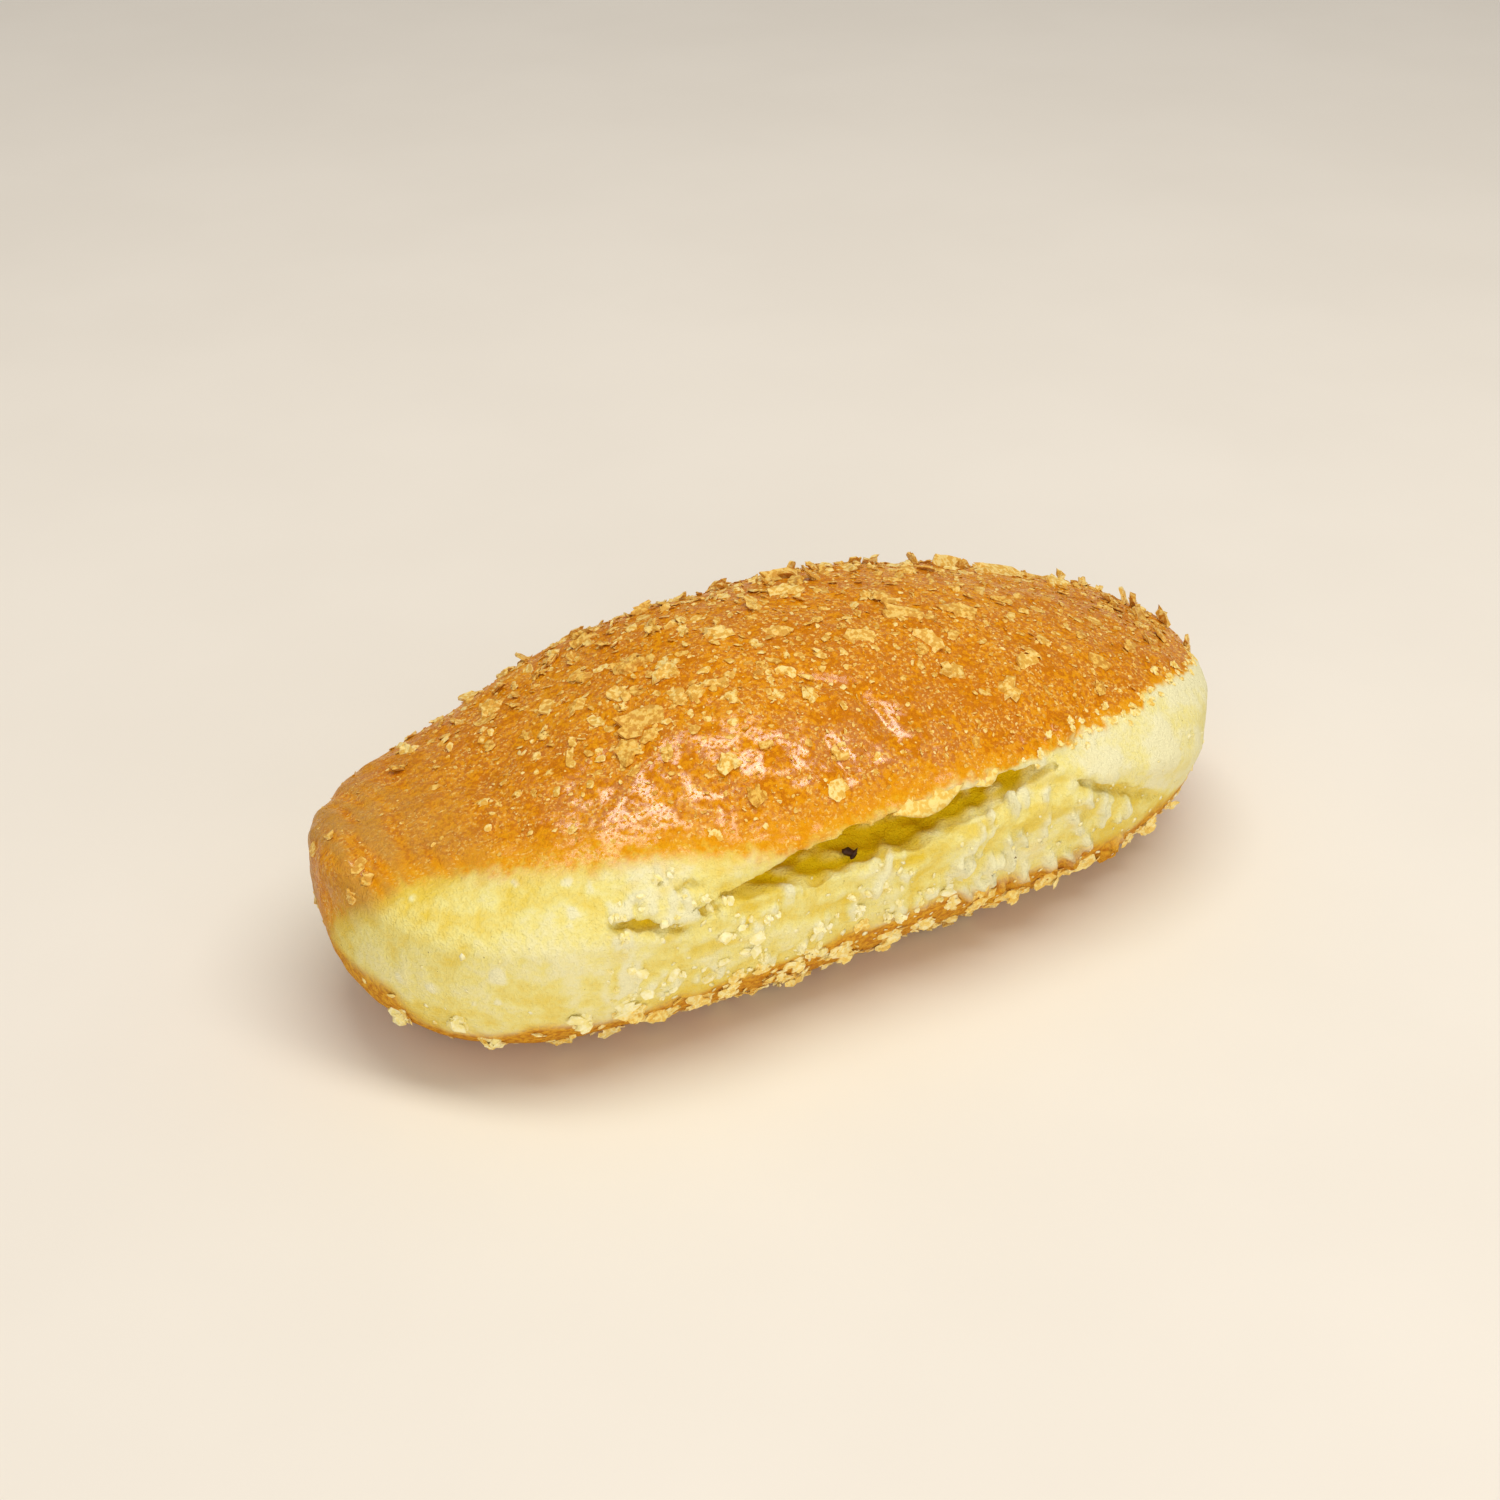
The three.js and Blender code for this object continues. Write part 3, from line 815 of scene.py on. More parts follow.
def bun_material():
    material, tree, shader = new_material("baked bun")
    wide = use_group(tree, mottle, "Mask", Size=9 * MM, Low=0.35, High=0.65)
    small = use_group(tree, mottle, "Mask", Size=0.7 * MM, Low=0.36, High=0.64)
    fine = use_group(tree, mottle, "Mask", Size=0.45 * MM, Low=0.56, High=0.64)
    patches = use_group(tree, mottle, "Mask", Size=2.6 * MM, Low=0.37, High=0.55)
    dust_and_glints = times(tree, fine, patches)
    pinpoints = use_group(tree, mottle, "Mask", Size=0.9 * MM, Low=0.74, High=0.78)

    brown = measured(tree, "browning")
    shift = plus(tree, times(tree, small, UNEVEN["small"]), times(tree, wide, UNEVEN["wide"]))
    uneven = times(tree, brown, plus(tree, shift, UNEVEN["least"]))
    spongy = plus(tree, measured(tree, "pale"), times(tree, small, SPONGE))
    paleness = times(tree, spongy, 1 / PALEST)
    dough = ramp(tree, paleness, [(0.05, YELLOW_DOUGH), (0.55, CREAM), (1.0, WHITE_DOUGH)])
    dough = blend(tree, pinpoints, dough, DARK_SPECK)
    crust = ramp(tree, uneven, [(0.12, GOLD), (0.38, ORANGE), (0.72, CHESTNUT), (1.0, BROWN)])
    # light specks: partly crumb dust, partly painted glints
    crust = blend(tree, times(tree, dust_and_glints, DUST_AND_GLINT_STRENGTH), crust, DUST_AND_GLINT_SPECK)
    crust = blend(tree, times(tree, measured(tree, "tan"), TAN_STRENGTH), crust, TAN)
    skin = blend(tree, span(tree, brown, 0.0, FULL_CRUST), dough, crust)
    toasted = blend(tree, small, FOOT_GOLD, FOOT_BROWN)
    skin = blend(tree, measured(tree, "foot"), skin, toasted)
    # the hollow's darker yellow, partly painted shade deep in the split and along the streaks
    skin = blend(tree, measured(tree, "hollow"), skin, HOLLOW_YELLOW_AND_SHADE)
    feed(tree, shader["Base Color"], skin)

    drops = use_group(tree, mottle, "Mask", Size=0.5 * MM, Low=0.36, High=0.54)
    oily = times(tree, drops, patches)
    feed(tree, shader["Coat Weight"], times(tree, measured(tree, "shine"), oily))
    smoother = times(tree, brown, ROUGHNESS["less"])
    feed(tree, shader["Roughness"], calculate(tree, "SUBTRACT", ROUGHNESS["dough"], smoother))
    for name, value in OIL.items():
        shader[name].default_value = value

    peel = use_group(tree, grain, "Height", Size=0.7 * MM, Fine=0.8)
    bump = add(tree, "Bump", {"Height": peel, "Strength": 1.0, "Distance": PEEL_HEIGHT})
    feed(tree, shader["Normal"], bump.outputs["Normal"])
    return material


bun.data.materials.append(bun_material())
print("bun material:", len(bun.data.materials[0].node_tree.nodes), "nodes")

# %% [markdown]
# ## Lumpy crumbs
# Bread crumbs are torn, not cut. Most are lumps: fine grit, chips with a torn outline, and clusters of
# several lumps that hang together. Each could be sculpted, but a ball whose corners are pushed about by noise
# gives as many as are wanted. A few of each are enough, because every crumb gets its own size, turn and tilt
# when it is placed.

# %% Lumpy crumbs
NOISE_SEED = 1
noise.seed_set(NOISE_SEED)  # without a seed, vector noise is another one in each run
SHAPES_OF_A_KIND = 7
GRIT = {"lumps": 4.5, "depth": 0.8}
CHIP = {"tears": 2.3, "tear": 0.8, "nicks": 6.1, "nick": 0.5, "bumps": 7, "bump": 0.7}
CLUSTER = {"lumps": 7, "drift": 0.5, "turn": 1.9, "bumps": 5, "bump": 0.9, "rise": 1.5}
LUMP_RADIUS = {"first": 0.28, "less": 0.12}


def elsewhere(seed, *steps):
    """A way through the noise that gives each seed another part of it."""
    return Vector([seed * step for step in steps])


def shape_arrays(shape):
    """The corners and triangles of a bmesh, which is then freed."""
    bmesh.ops.triangulate(shape, faces=shape.faces)
    bmesh.ops.recalc_face_normals(shape, faces=shape.faces)
    shape.verts.index_update()
    triangles = np.array([[vertex.index for vertex in face.verts] for face in shape.faces])
    arrays = corners(shape), triangles
    shape.free()
    return arrays


def grit(seed):
    """A lumpy grain, one unit long, wide and thick."""
    shape = bmesh.new()
    bmesh.ops.create_icosphere(shape, subdivisions=1, radius=0.5)
    for vertex in shape.verts:
        lump = noise.noise(vertex.co * GRIT["lumps"] + elsewhere(seed, 3.7, 1.3, 2.9))
        vertex.co *= 1 + GRIT["depth"] * lump
    return shape_arrays(shape)


def chip(seed):
    """A flat chip with a torn outline, one unit long, wide and thick."""
    shape = bmesh.new()
    bmesh.ops.create_uvsphere(shape, u_segments=14, v_segments=4, radius=0.5)
    for vertex in shape.verts:
        outwards = Vector((vertex.co.x, vertex.co.y, 0)).normalized()
        tear = noise.noise(outwards * CHIP["tears"] + elsewhere(seed, 0, 0, 4.1))
        nick = noise.noise(outwards * CHIP["nicks"] + elsewhere(seed, 0, 0, 2.7))
        vertex.co.xy *= 1 + CHIP["tear"] * tear + CHIP["nick"] * nick
        vertex.co.z += CHIP["bump"] * noise.noise(vertex.co * CHIP["bumps"] + elsewhere(seed, 1, 0, 0))
    return shape_arrays(shape)


def cluster(seed):
    """Several small lumps torn off together, as one crumb about one unit long, wide and thick."""
    shape = bmesh.new()
    for i in range(CLUSTER["lumps"]):
        drift = noise.noise_vector(Vector((seed * 3.1, i * 2.3, 0.4))) * CLUSTER["drift"]
        radius = LUMP_RADIUS["first"] - LUMP_RADIUS["less"] * i / CLUSTER["lumps"]
        matrix = Matrix.Translation(drift) @ Matrix.Rotation(i * CLUSTER["turn"] + seed, 4, "Z")
        made = bmesh.ops.create_icosphere(shape, subdivisions=1, radius=radius, matrix=matrix)
        for vertex in made["verts"]:
            bump = noise.noise_vector(vertex.co * CLUSTER["bumps"] + Vector((seed, i, 0)))
            vertex.co += CLUSTER["bump"] * radius * bump
            vertex.co.z *= CLUSTER["rise"]
    return shape_arrays(shape)


grits = [grit(seed) for seed in range(SHAPES_OF_A_KIND)]
chips = [chip(seed) for seed in range(SHAPES_OF_A_KIND)]
clusters = [cluster(seed) for seed in range(SHAPES_OF_A_KIND)]
for name, kind in {"grit": grits, "chip": chips, "cluster": clusters}.items():
    print(name, "of", len(kind[0][1]), "triangles")

# %% [markdown]
# ## Flakes and leaves
# Other crumbs are thin sheets of crust: flakes, which curl, and leaves, which are longer and have two points.
# Cloth or a bend modifier could shape them too. Here a small grid is bent by a formula, which is quick and
# always gives the same sheet, and is then given a thickness.

# %% Flakes and leaves
FLAKE = {"tears": 3.1, "tear": 0.22, "width": 1.05, "slimming": (0.55, 0.7), "curl": 0.9, "wave": 0.35}
FLAKE_MIDDLE = 0.1  # sinks the middle of a flake while its ends curl up
STRIP = {"points": 0.7, "least": 0.1, "sway": 0.1, "bend": 0.3, "wave": 0.6, "curl": 2.4}
STRIP_WAVES = Vector((7, 3, 0))  # waves along and across a leaf
STRIP_SHIFT = Vector((0, 0, 1.7))
SOLID_FLAKE = 0.55
SOLID_LEAF = 0.4


def leaf():
    """A strip of crust, one unit long and wide, pointed at both ends and curled along its middle."""
    shape = bmesh.new()
    bmesh.ops.create_grid(shape, x_segments=14, y_segments=4, size=0.5)
    for vertex in shape.verts:
        along, across = vertex.co.x, vertex.co.y
        wave = noise.noise(vertex.co * STRIP_WAVES + STRIP_SHIFT)
        width = max(STRIP["least"], math.cos(math.pi * along) ** STRIP["points"])
        vertex.co.y = across * width + STRIP["sway"] * wave + STRIP["bend"] * along * along
        vertex.co.z = STRIP["wave"] * wave - STRIP["curl"] * across * across
    bmesh.ops.solidify(shape, geom=shape.faces[:], thickness=SOLID_LEAF)
    return shape_arrays(shape)


def flake(seed):
    """A thin bent flake with a torn edge, one unit long and wide."""
    shape = bmesh.new()
    bmesh.ops.create_grid(shape, x_segments=4, y_segments=3, size=0.5)
    along, across = FLAKE["slimming"]
    for vertex in shape.verts:
        tear = noise.noise_vector(vertex.co * FLAKE["tears"] + elsewhere(seed, 5.3, 2.1, 1))
        vertex.co.x = vertex.co.x * (FLAKE["width"] - along * abs(vertex.co.y)) + FLAKE["tear"] * tear.x
        vertex.co.y = vertex.co.y * (FLAKE["width"] - across * abs(vertex.co.x)) + FLAKE["tear"] * tear.y
        vertex.co.z = FLAKE["curl"] * (vertex.co.x**2 - FLAKE_MIDDLE) + FLAKE["wave"] * tear.z
    bmesh.ops.solidify(shape, geom=shape.faces[:], thickness=SOLID_FLAKE)
    return shape_arrays(shape)


flakes = [flake(seed) for seed in range(SHAPES_OF_A_KIND)]
leaves = [leaf()]
print("flake of", len(flakes[0][1]), "triangles, leaf of", len(leaves[0][1]))

# %% [markdown]
# ## Where a crumb lies
# A real crumb lies flat on the crust or leans on others, and is baked in a little. A Shrinkwrap modifier
# could set whole objects down on the bun, but here each crumb is only a matrix, so a ray from outside finds
# the rough surface at its place. The formula of the bun tells which way is out.

# %% Find a crumb's place
FLAKE_THICKNESS = 0.26  # share of a crumb's width
FLAKE_SINK = 0.36  # share of a crumb's height that is baked in
RAY_START = 5 * MM  # how far outside the bun a ray begins
RAY_LENGTH = 15 * MM
NORMAL_STEP = 0.004
LAST_S = 0.99  # beyond it the bun closes and has no clear normal
tree_of_bun = BVHTree.FromObject(bun, bpy.context.evaluated_depsgraph_get())


def bun_normal(s, angle):
    here = min(max(s, -LAST_S), LAST_S)
    along = bun_point(here + NORMAL_STEP, angle) - bun_point(here - NORMAL_STEP, angle)
    around = bun_point(here, angle + NORMAL_STEP) - bun_point(here, angle - NORMAL_STEP)
    return Vector(np.cross(around, along)).normalized()


def ground(s, angle):
    """Where the rough bun lies at s and an angle, and which way it faces there."""
    normal = bun_normal(s, angle)
    start = Vector(bun_point(s, angle)) + normal * RAY_START
    hit = tree_of_bun.ray_cast(start, -normal, RAY_LENGTH)[0]
    return hit or Vector(bun_point(s, angle)), normal


def crumb_matrix(crumb):
    """Turns a crumb of one unit into its place and size on the bun."""
    place, normal = ground(crumb["s"], math.radians(crumb["angle"]))
    across = normal.cross(Vector((1, 0, 0))).normalized()
    along = across.cross(normal)
    stand = Matrix((along, across, normal)).transposed().to_4x4()
    lean = math.radians(crumb["tilt"])
    turned = Matrix.Rotation(math.radians(crumb["turn"]), 4, "Z") @ Matrix.Rotation(lean, 4, "X")
    width = crumb["width"] * MM
    thickness = crumb.get("thickness", FLAKE_THICKNESS) * width
    half_height = (abs(math.sin(lean)) * width + math.cos(lean) * thickness) / 2
    centre = place + normal * half_height * (1 - 2 * crumb.get("sink", FLAKE_SINK))
    size = Matrix.Diagonal((crumb["length"] * MM, width, thickness, 1))
    return Matrix.Translation(centre) @ stand @ turned @ size


print("ground under the crown's middle, in mm:", (ground(0.0, math.pi / 2)[0] / MM).to_tuple(1))

# %% [markdown]
# ## Laying crumbs
# Thousands of separate objects would be slow to work with. So all crumbs of a kind become one joined mesh,
# built from arrays, with a tone for each crumb that tints it later. The crumbs come as rows of numbers, which
# for the largest ones are listed one by one.

# %% Lay crumbs
LEAST_CLEARANCE = 0.2 * MM  # crumbs stay this far above the table
CRUMB_KEYS = ("s", "angle", "length", "width", "turn", "tilt")


def lay(name, crumbs, shapes, material, soft=False):
    """One joined mesh of crumbs, each a placed copy of one of the shapes, with soft or crisp edges."""
    all_places, all_triangles, tones = [], [], []
    count = 0
    for i, crumb in enumerate(crumbs):
        points, triangles = shapes[i % len(shapes)]
        matrix = np.array(crumb_matrix(crumb))
        laid = points @ matrix[:3, :3].T + matrix[:3, 3]
        laid[:, 2] = np.maximum(laid[:, 2], LEAST_CLEARANCE)
        all_places.append(laid)
        all_triangles.append(triangles + count)
        tones.append(np.full(len(points), crumb.get("tone", 1.0) * spread(i + 1, 19)))
        count += len(points)
    mesh = bpy.data.meshes.new(name)
    mesh.from_pydata(np.concatenate(all_places).tolist(), [], np.concatenate(all_triangles).tolist())
    mesh.attributes.new("tone", "FLOAT", "POINT").data.foreach_set("value", np.concatenate(tones))
    mesh.materials.append(material)
    if soft:
        mesh.shade_smooth()
    made = bpy.data.objects.new(name, mesh)
    bpy.context.scene.collection.objects.link(made)
    print(f"{name}: {len(crumbs)} crumbs, {len(mesh.polygons)} triangles")
    return made


def as_crumbs(rows, **more):
    """Crumbs from rows of s, angle, length and width in millimetres, turn and tilt in degrees."""
    return [dict(zip(CRUMB_KEYS, row), **more) for row in rows]


print("a crumb is given by", ", ".join(CRUMB_KEYS))

# %% [markdown]
# ## Spreading crumbs
# All other crumbs are strewn over zones of the bun. Random places would leave clumps and gaps, and a
# particle system would need a painted map of where the crust ends. Here evenly spread numbers give place,
# size and turn, and a density, asked at each place, says whether a crumb stays there.

# %% Spread crumbs
SLIMNESS = (0.55, 0.92)  # least and greatest width of a crumb as a share of its length
HALF_TURN = 180  # degrees


def spread_crumbs(count, along, angles, lengths, tilt, first, density):
    """Crumbs at evenly spread places of a zone, the largest first."""
    crumbs = []
    i = first - 1
    while len(crumbs) < count:
        i += 1
        s = mix(*along, spread(i, 2))
        low, high = angles[int(spread(i, 17) * len(angles))]
        angle = mix(low, high, spread(i, 3))
        if spread(i, 5) > density(s, angle):
            continue
        length = mix(*lengths, math.sqrt(len(crumbs) / count))
        width = length * mix(*SLIMNESS, spread(i, 7))
        turn = HALF_TURN * spread(i, 11)
        lean = tilt * (2 * spread(i, 13) - 1)
        crumbs.append((s, angle, length, width, turn, lean))
    return as_crumbs(crumbs)


def in_zones(zones, density):
    """The crumbs of several zones, thick and thin as density says."""
    return [crumb for zone in zones for crumb in spread_crumbs(*zone, density)]


print("evenly spread numbers:", [round(spread(i, 2), 3) for i in range(1, 8)])

# %% [markdown]
# ## Crumb materials
# Crumbs on the crown are toasted brown, those along the foot and the crust's edge golden, and those by the
# split stayed nearly white. One fleck is burnt. All get their colour from the tone of each crumb and some
# mottle, and a grainy bump for the torn texture.

# %% Crumb materials
TOASTED_COLOURS = [(0.60, 0.26, 0.015, 1), (0.82, 0.48, 0.07, 1), (0.94, 0.74, 0.28, 1)]  # dark to light
GOLDEN_COLOURS = [(0.84, 0.52, 0.08, 1), (0.93, 0.72, 0.22, 1), (0.97, 0.87, 0.48, 1)]
PALE_COLOURS = [(0.88, 0.75, 0.27, 1), (0.92, 0.83, 0.44, 1), (0.95, 0.90, 0.62, 1)]
BURNT_COLOURS = [(0.03, 0.008, 0.003, 1), (0.05, 0.015, 0.005, 1), (0.08, 0.03, 0.01, 1)]
TONE_SHARE = 0.45  # how much of the colour comes from a crumb's tone
PATCH_SHARE = 0.55
CRUMB_SURFACE = {"Specular IOR Level": 0.3, "Sheen Weight": 0.2}


def crumb_material(name, colours, roughness, roughening):
    """A crumb's skin from its dark, middle and light colour, with grains that stand up by roughening."""
    material, tree, shader = new_material(name)
    dark, middle, light = colours
    tone = measured(tree, "tone")
    patches = use_group(tree, mottle, "Mask", Size=0.7 * MM, Low=0.42, High=0.58)
    mixed = plus(tree, times(tree, tone, TONE_SHARE), times(tree, patches, PATCH_SHARE))
    colour = ramp(tree, mixed, [(0.0, dark), (0.5, middle), (1.0, light)])
    feed(tree, shader["Base Color"], colour)
    shader["Roughness"].default_value = roughness
    shader["Sheen Tint"].default_value = light
    for socket, value in CRUMB_SURFACE.items():
        shader[socket].default_value = value
    texture = use_group(tree, grain, "Height", Size=0.5 * MM, Fine=0.8)
    bump = add(tree, "Bump", {"Height": texture, "Strength": 1.0, "Distance": roughening})
    feed(tree, shader["Normal"], bump.outputs["Normal"])
    return material


toasted = crumb_material("toasted crumb", TOASTED_COLOURS, roughness=0.4, roughening=0.12 * MM)
golden = crumb_material("golden crumb", GOLDEN_COLOURS, roughness=0.45, roughening=0.12 * MM)
pale_white = crumb_material("pale crumb", PALE_COLOURS, roughness=0.6, roughening=0.06 * MM)
fleck = crumb_material("burnt fleck", BURNT_COLOURS, roughness=0.5, roughening=0.1 * MM)
print("crumb materials:", toasted.name, golden.name, pale_white.name, fleck.name)

# %% [markdown]
# ## The largest flakes
# The eye goes to the largest flakes of the crown first, so these are not strewn: each is written down where
# it lies on the real bun, with its size, turn and tilt.

# %% The largest flakes
CROWN_FLAKES = as_crumbs([  # the largest flakes, each where it lies on the real bun
    (-0.33, 85.5, 5, 4, -20, 10), (-0.4, 77.5, 4.2, 3, -25, 15), (-0.39, 105.5, 6.2, 4.6, -10, 8),
    (-0.436, 111, 4.2, 3.4, 60, 6), (-0.447, 87.5, 3.8, 3, -20, 12), (-0.485, 79.5, 3, 2.6, 50, 15),
    (-0.552, 60, 4, 3.4, -20, 25), (-0.386, 118.5, 3.4, 2, 65, 6), (-0.526, 102.5, 4, 1.4, 62, 8),
    (-0.23, 107, 3.6, 1.9, -30, 12), (-0.233, 76, 3.4, 3, 60, 20), (0.059, 78.5, 5.2, 3.4, -30, 20),
    (-0.153, 90.5, 4.8, 2.6, -25, 15), (-0.176, 77.5, 3.2, 2, 60, 30), (-0.098, 111, 3.2, 2, -30, 10),
    (-0.082, 120, 3.2, 2, 65, 15), (-0.305, 130, 4.4, 4.2, 20, 5), (-0.125, 149, 3, 2.8, 30, 5),
    (-0.279, 141, 3.2, 2.6, 60, 5), (-0.191, 59, 5, 2.4, 0, 50), (-0.394, 37.5, 3.4, 3, 60, 60),
    (-0.328, 59.5, 4, 2.8, -10, 30), (0.16, 71.5, 3.8, 3.6, 60, 50), (0.11, 64.5, 5.4, 2.8, 0, 50),
    (-0.031, 81.5, 4, 2.6, 60, 35), (-0.043, 96.5, 6.6, 2.8, -25, 15), (0.094, 106.5, 4.4, 3, -20, 10),
    (-0.275, 106, 3.4, 2.6, 10, 10), (-0.309, 104, 3.4, 2.6, -40, 12), (-0.383, 92.5, 3, 2.8, 30, 15),
    (-0.29, 96, 3.8, 3.2, 0, 15), (-0.008, 109, 3.8, 1.5, -65, 20), (0.226, 112, 5, 3.2, -60, 25),
    (0.233, 123, 3.4, 3.2, 40, 8), (0.489, 117.5, 2.8, 2.4, 20, 12), (0.415, 125, 4.2, 2.6, -5, 12),
    (0.328, 133.5, 4, 3.6, -50, 8), (0.495, 97, 4.6, 2.4, -30, 15), (0.591, 128, 3.4, 2.4, -55, 12),
    (0.552, 138, 2.8, 2.2, 40, 10), (0.797, 119.5, 4.2, 2.2, 60, 30), (0.884, 118, 4.2, 3.2, 60, 25),
    (0.71, 123.5, 3.2, 2.6, 20, 15), (0.23, 93, 4.4, 3.2, -20, 20), (0.226, 100.5, 5.4, 3.4, -30, 12),
    (0.357, 103, 5.4, 2.8, -25, 15), (0.478, 55, 3.4, 3.6, 80, 62), (0.559, 56.5, 5.4, 3.2, 0, 55),
    (0.652, 66, 13, 4.2, -4, 25), (0.872, 56.5, 4, 3, 30, 55), (0.952, 58.5, 5, 3.8, 40, 58),
    (0.975, 100, 4.6, 3.8, 60, 50), (0.97, 138, 4.4, 3.4, 20, 45), (0.76, 74, 4.6, 3.2, 10, 35),
    (0.82, 58, 5, 3.4, 50, 50), (0.86, 86, 4.8, 3.6, 80, 30), (0.9, 98, 4.4, 3, 25, 38),
    (0.94, 80, 4.8, 3.4, 60, 45), (-0.96, 77, 2.8, 2, 70, 5), (-0.955, 112, 2.6, 1.8, 30, 10),
    (-0.957, 122, 2.4, 1.8, 80, 5), (-0.985, 150, 2.8, 2.2, 50, 5), (-0.985, 40, 2.4, 2, 20, 20),
])
print(len(CROWN_FLAKES), "large flakes")

# %% [markdown]
# ## Crumbs on the crown
# The other crumbs lie thick on the ridge and the back, thin out over the gloss above the split and leave the
# left end nearly bare. Dust of much finer crumbs lies between them. One scatter for all sizes would look even
# and dull, so each size has its own zones, and a density for crumbs, for dust and for the crust's edge.

# %% Crumbs on the crown
COARSE_ZONES = [  # count, ends along the bun, angles, lengths in mm, tilt in degrees, first number drawn
    (70, (-0.86, 0.97), [(22, 76)], (4.4, 2.4), 40, 1),
    (50, (-0.8, 0.97), [(50, 68)], (3.4, 1.6), 70, 4000),
    (30, (-0.8, 0.97), [(76, 150)], (3.2, 2.2), 14, 200),
]
SMALL_ZONES = [
    (440, (-0.9, 0.97), [(14, 100)], (2.4, 1.1), 40, 500),
    (150, (-0.9, 0.97), [(100, 152)], (2.2, 1.1), 16, 1200),
]
DUST_ZONES = [
    (1500, (-0.94, 0.97), [(12, 154)], (1.1, 0.6), 45, 3000),
    (3200, (-0.97, 0.98), [(8, 156)], (0.6, 0.3), 45, 9000),
]
FRINGE_ZONES = [(55, (0.2, 0.97), [(110, 160)], (2.6, 1.0), 20, 1500)]
CRUST_END = 10  # degrees above the crust's edge over which the crumbs thin out
OVER_GLOSS = {"crumbs": 0.14, "angles": (106, 128), "dust": 0.6, "dust angles": (104, 128)}
LEFT_END = {"crumbs": (-0.82, -0.42), "dust": (-0.85, -0.3), "least dust": 0.1}
RIGHT_HALF = {"share": 0.7, "change": (-0.1, 0.4)}
RIGHT_END = {"more": 0.3, "change": (0.72, 0.87)}
FRINGE = {"change": (0.2, 0.4), "reach": 5}
# a higher tone is lighter: the back's is raised as painted light, since crumbs past the ridge face away from
# the lights
CRUMB_TONES_AND_PAINTED_LIGHT = {"back": 1.25, "left": 1.0, "right": 0.6}  # lower is browner
TONE_CHANGE = {"s": (0.0, 0.3), "angle": (70, 85)}


def edge_angle(s):
    return 90 + near_edge(s)


def on_crust(s, angle):
    """Fades from 1 to 0 where the crust ends above the split."""
    return smooth((edge_angle(s) - angle) / CRUST_END)


def crown_density(s, angle):
    """Thick on the ridge and at the right end, thin over the gloss above the split, bare at the left end."""
    ridge = mix(1.0, OVER_GLOSS["crumbs"], ease(angle, *OVER_GLOSS["angles"]))
    along = mix(1.0, RIGHT_HALF["share"], ease(s, *RIGHT_HALF["change"]))
    along += RIGHT_END["more"] * ease(s, *RIGHT_END["change"])
    return ridge * along * ease(s, *LEFT_END["crumbs"]) * on_crust(s, angle)


def fringe_density(s, angle):
    """Thick along the edge of the crust, right of the middle."""
    return ease(s, *FRINGE["change"]) * bell(angle, edge_angle(s), FRINGE["reach"])


def dust_density(s, angle):
    ridge = mix(1.0, OVER_GLOSS["dust"], ease(angle, *OVER_GLOSS["dust angles"]))
    return ridge * mix(LEFT_END["least dust"], 1.0, ease(s, *LEFT_END["dust"])) * on_crust(s, angle)


coarse_crumbs = CROWN_FLAKES + in_zones(COARSE_ZONES, crown_density)
small_crumbs = in_zones(SMALL_ZONES, crown_density)
# each crumb's tone: browner on the right, and lighter on the back as painted light
for crumb in coarse_crumbs + small_crumbs:
    tone = mix(CRUMB_TONES_AND_PAINTED_LIGHT["left"], CRUMB_TONES_AND_PAINTED_LIGHT["right"], ease(crumb["s"], *TONE_CHANGE["s"]))
    crumb["tone"] = mix(CRUMB_TONES_AND_PAINTED_LIGHT["back"], tone, ease(crumb["angle"], *TONE_CHANGE["angle"]))
mixed_shapes = [shape for some in zip(chips, clusters, flakes) for shape in some]
pieces = [
    lay("crown_flakes", coarse_crumbs, mixed_shapes, toasted),
    lay("crown_crumbs", small_crumbs, chips[:3] + grits + flakes[:3], toasted),
    lay("crown_grit", in_zones(DUST_ZONES, dust_density), grits, toasted),
    lay("crust_fringe", in_zones(FRINGE_ZONES, fringe_density), clusters, golden),
]

# %% [markdown]
# ## Loose crumbs by the split
# Left of the middle, most heaps of torn crumb also have a few loose pale crumbs, spread round them. A long
# golden leaf of crust lies over the lip with a small one beside it, another lies at the foot, and one dark
# fleck sits in the split.

# %% Loose crumbs by the split
LEAVES = as_crumbs([
    (0.05, 160.5, 11.4, 3.6, 4, -15), (0.19, 159, 4.4, 2.2, 15, -10), (-0.51, 213, 5.8, 3.2, 18, -25),
], thickness=0.25, tone=0.3)
FLECK = as_crumbs([
    (-0.105, 174, 3.4, 1.1, -35, 0), (-0.102, 175, 2.2, 0.8, 60, 0),
], thickness=0.8)
LOOSE = {"lengths": (1.0, 2.6), "slimness": (0.6, 0.95), "tilt": 40}


def crumbs_of_heap(s, angle, reach, count, first):
    """Loose crumbs within reach of a place."""
    crumbs = []
    for i in range(first, first + count):
        crumb_s, crumb_angle = scattered(i, s, angle, reach)
        length = mix(*LOOSE["lengths"], spread(i, 5) ** RARE_LENGTH)
        width = length * mix(*LOOSE["slimness"], spread(i, 7))
        turn = HALF_TURN * spread(i, 11)
        tilt = LOOSE["tilt"] * (2 * spread(i, 13) - 1)
        crumbs.append((crumb_s, crumb_angle, length, width, turn, tilt))
    return crumbs


loose_crumbs = []
for heap in HEAPS:
    if heap[0] < STRINGY_FROM:
        loose_crumbs += crumbs_of_heap(*heap, first=len(loose_crumbs) + 1)
pieces += [
    lay("wall_crumbs", as_crumbs(loose_crumbs, thickness=0.7, sink=0.42), clusters + grits, pale_white),
    lay("lip_leaf", LEAVES, leaves, golden, soft=True),
    lay("split_fleck", FLECK, grits, fleck),
]

# %% [markdown]
# ## Crumbs on the side and the foot
# Fine pale crumbs are strewn over the whole side. Along the foot, where the bun lay in the crumbs, they form
# a broken band of golden flakes that stand out from the edge.

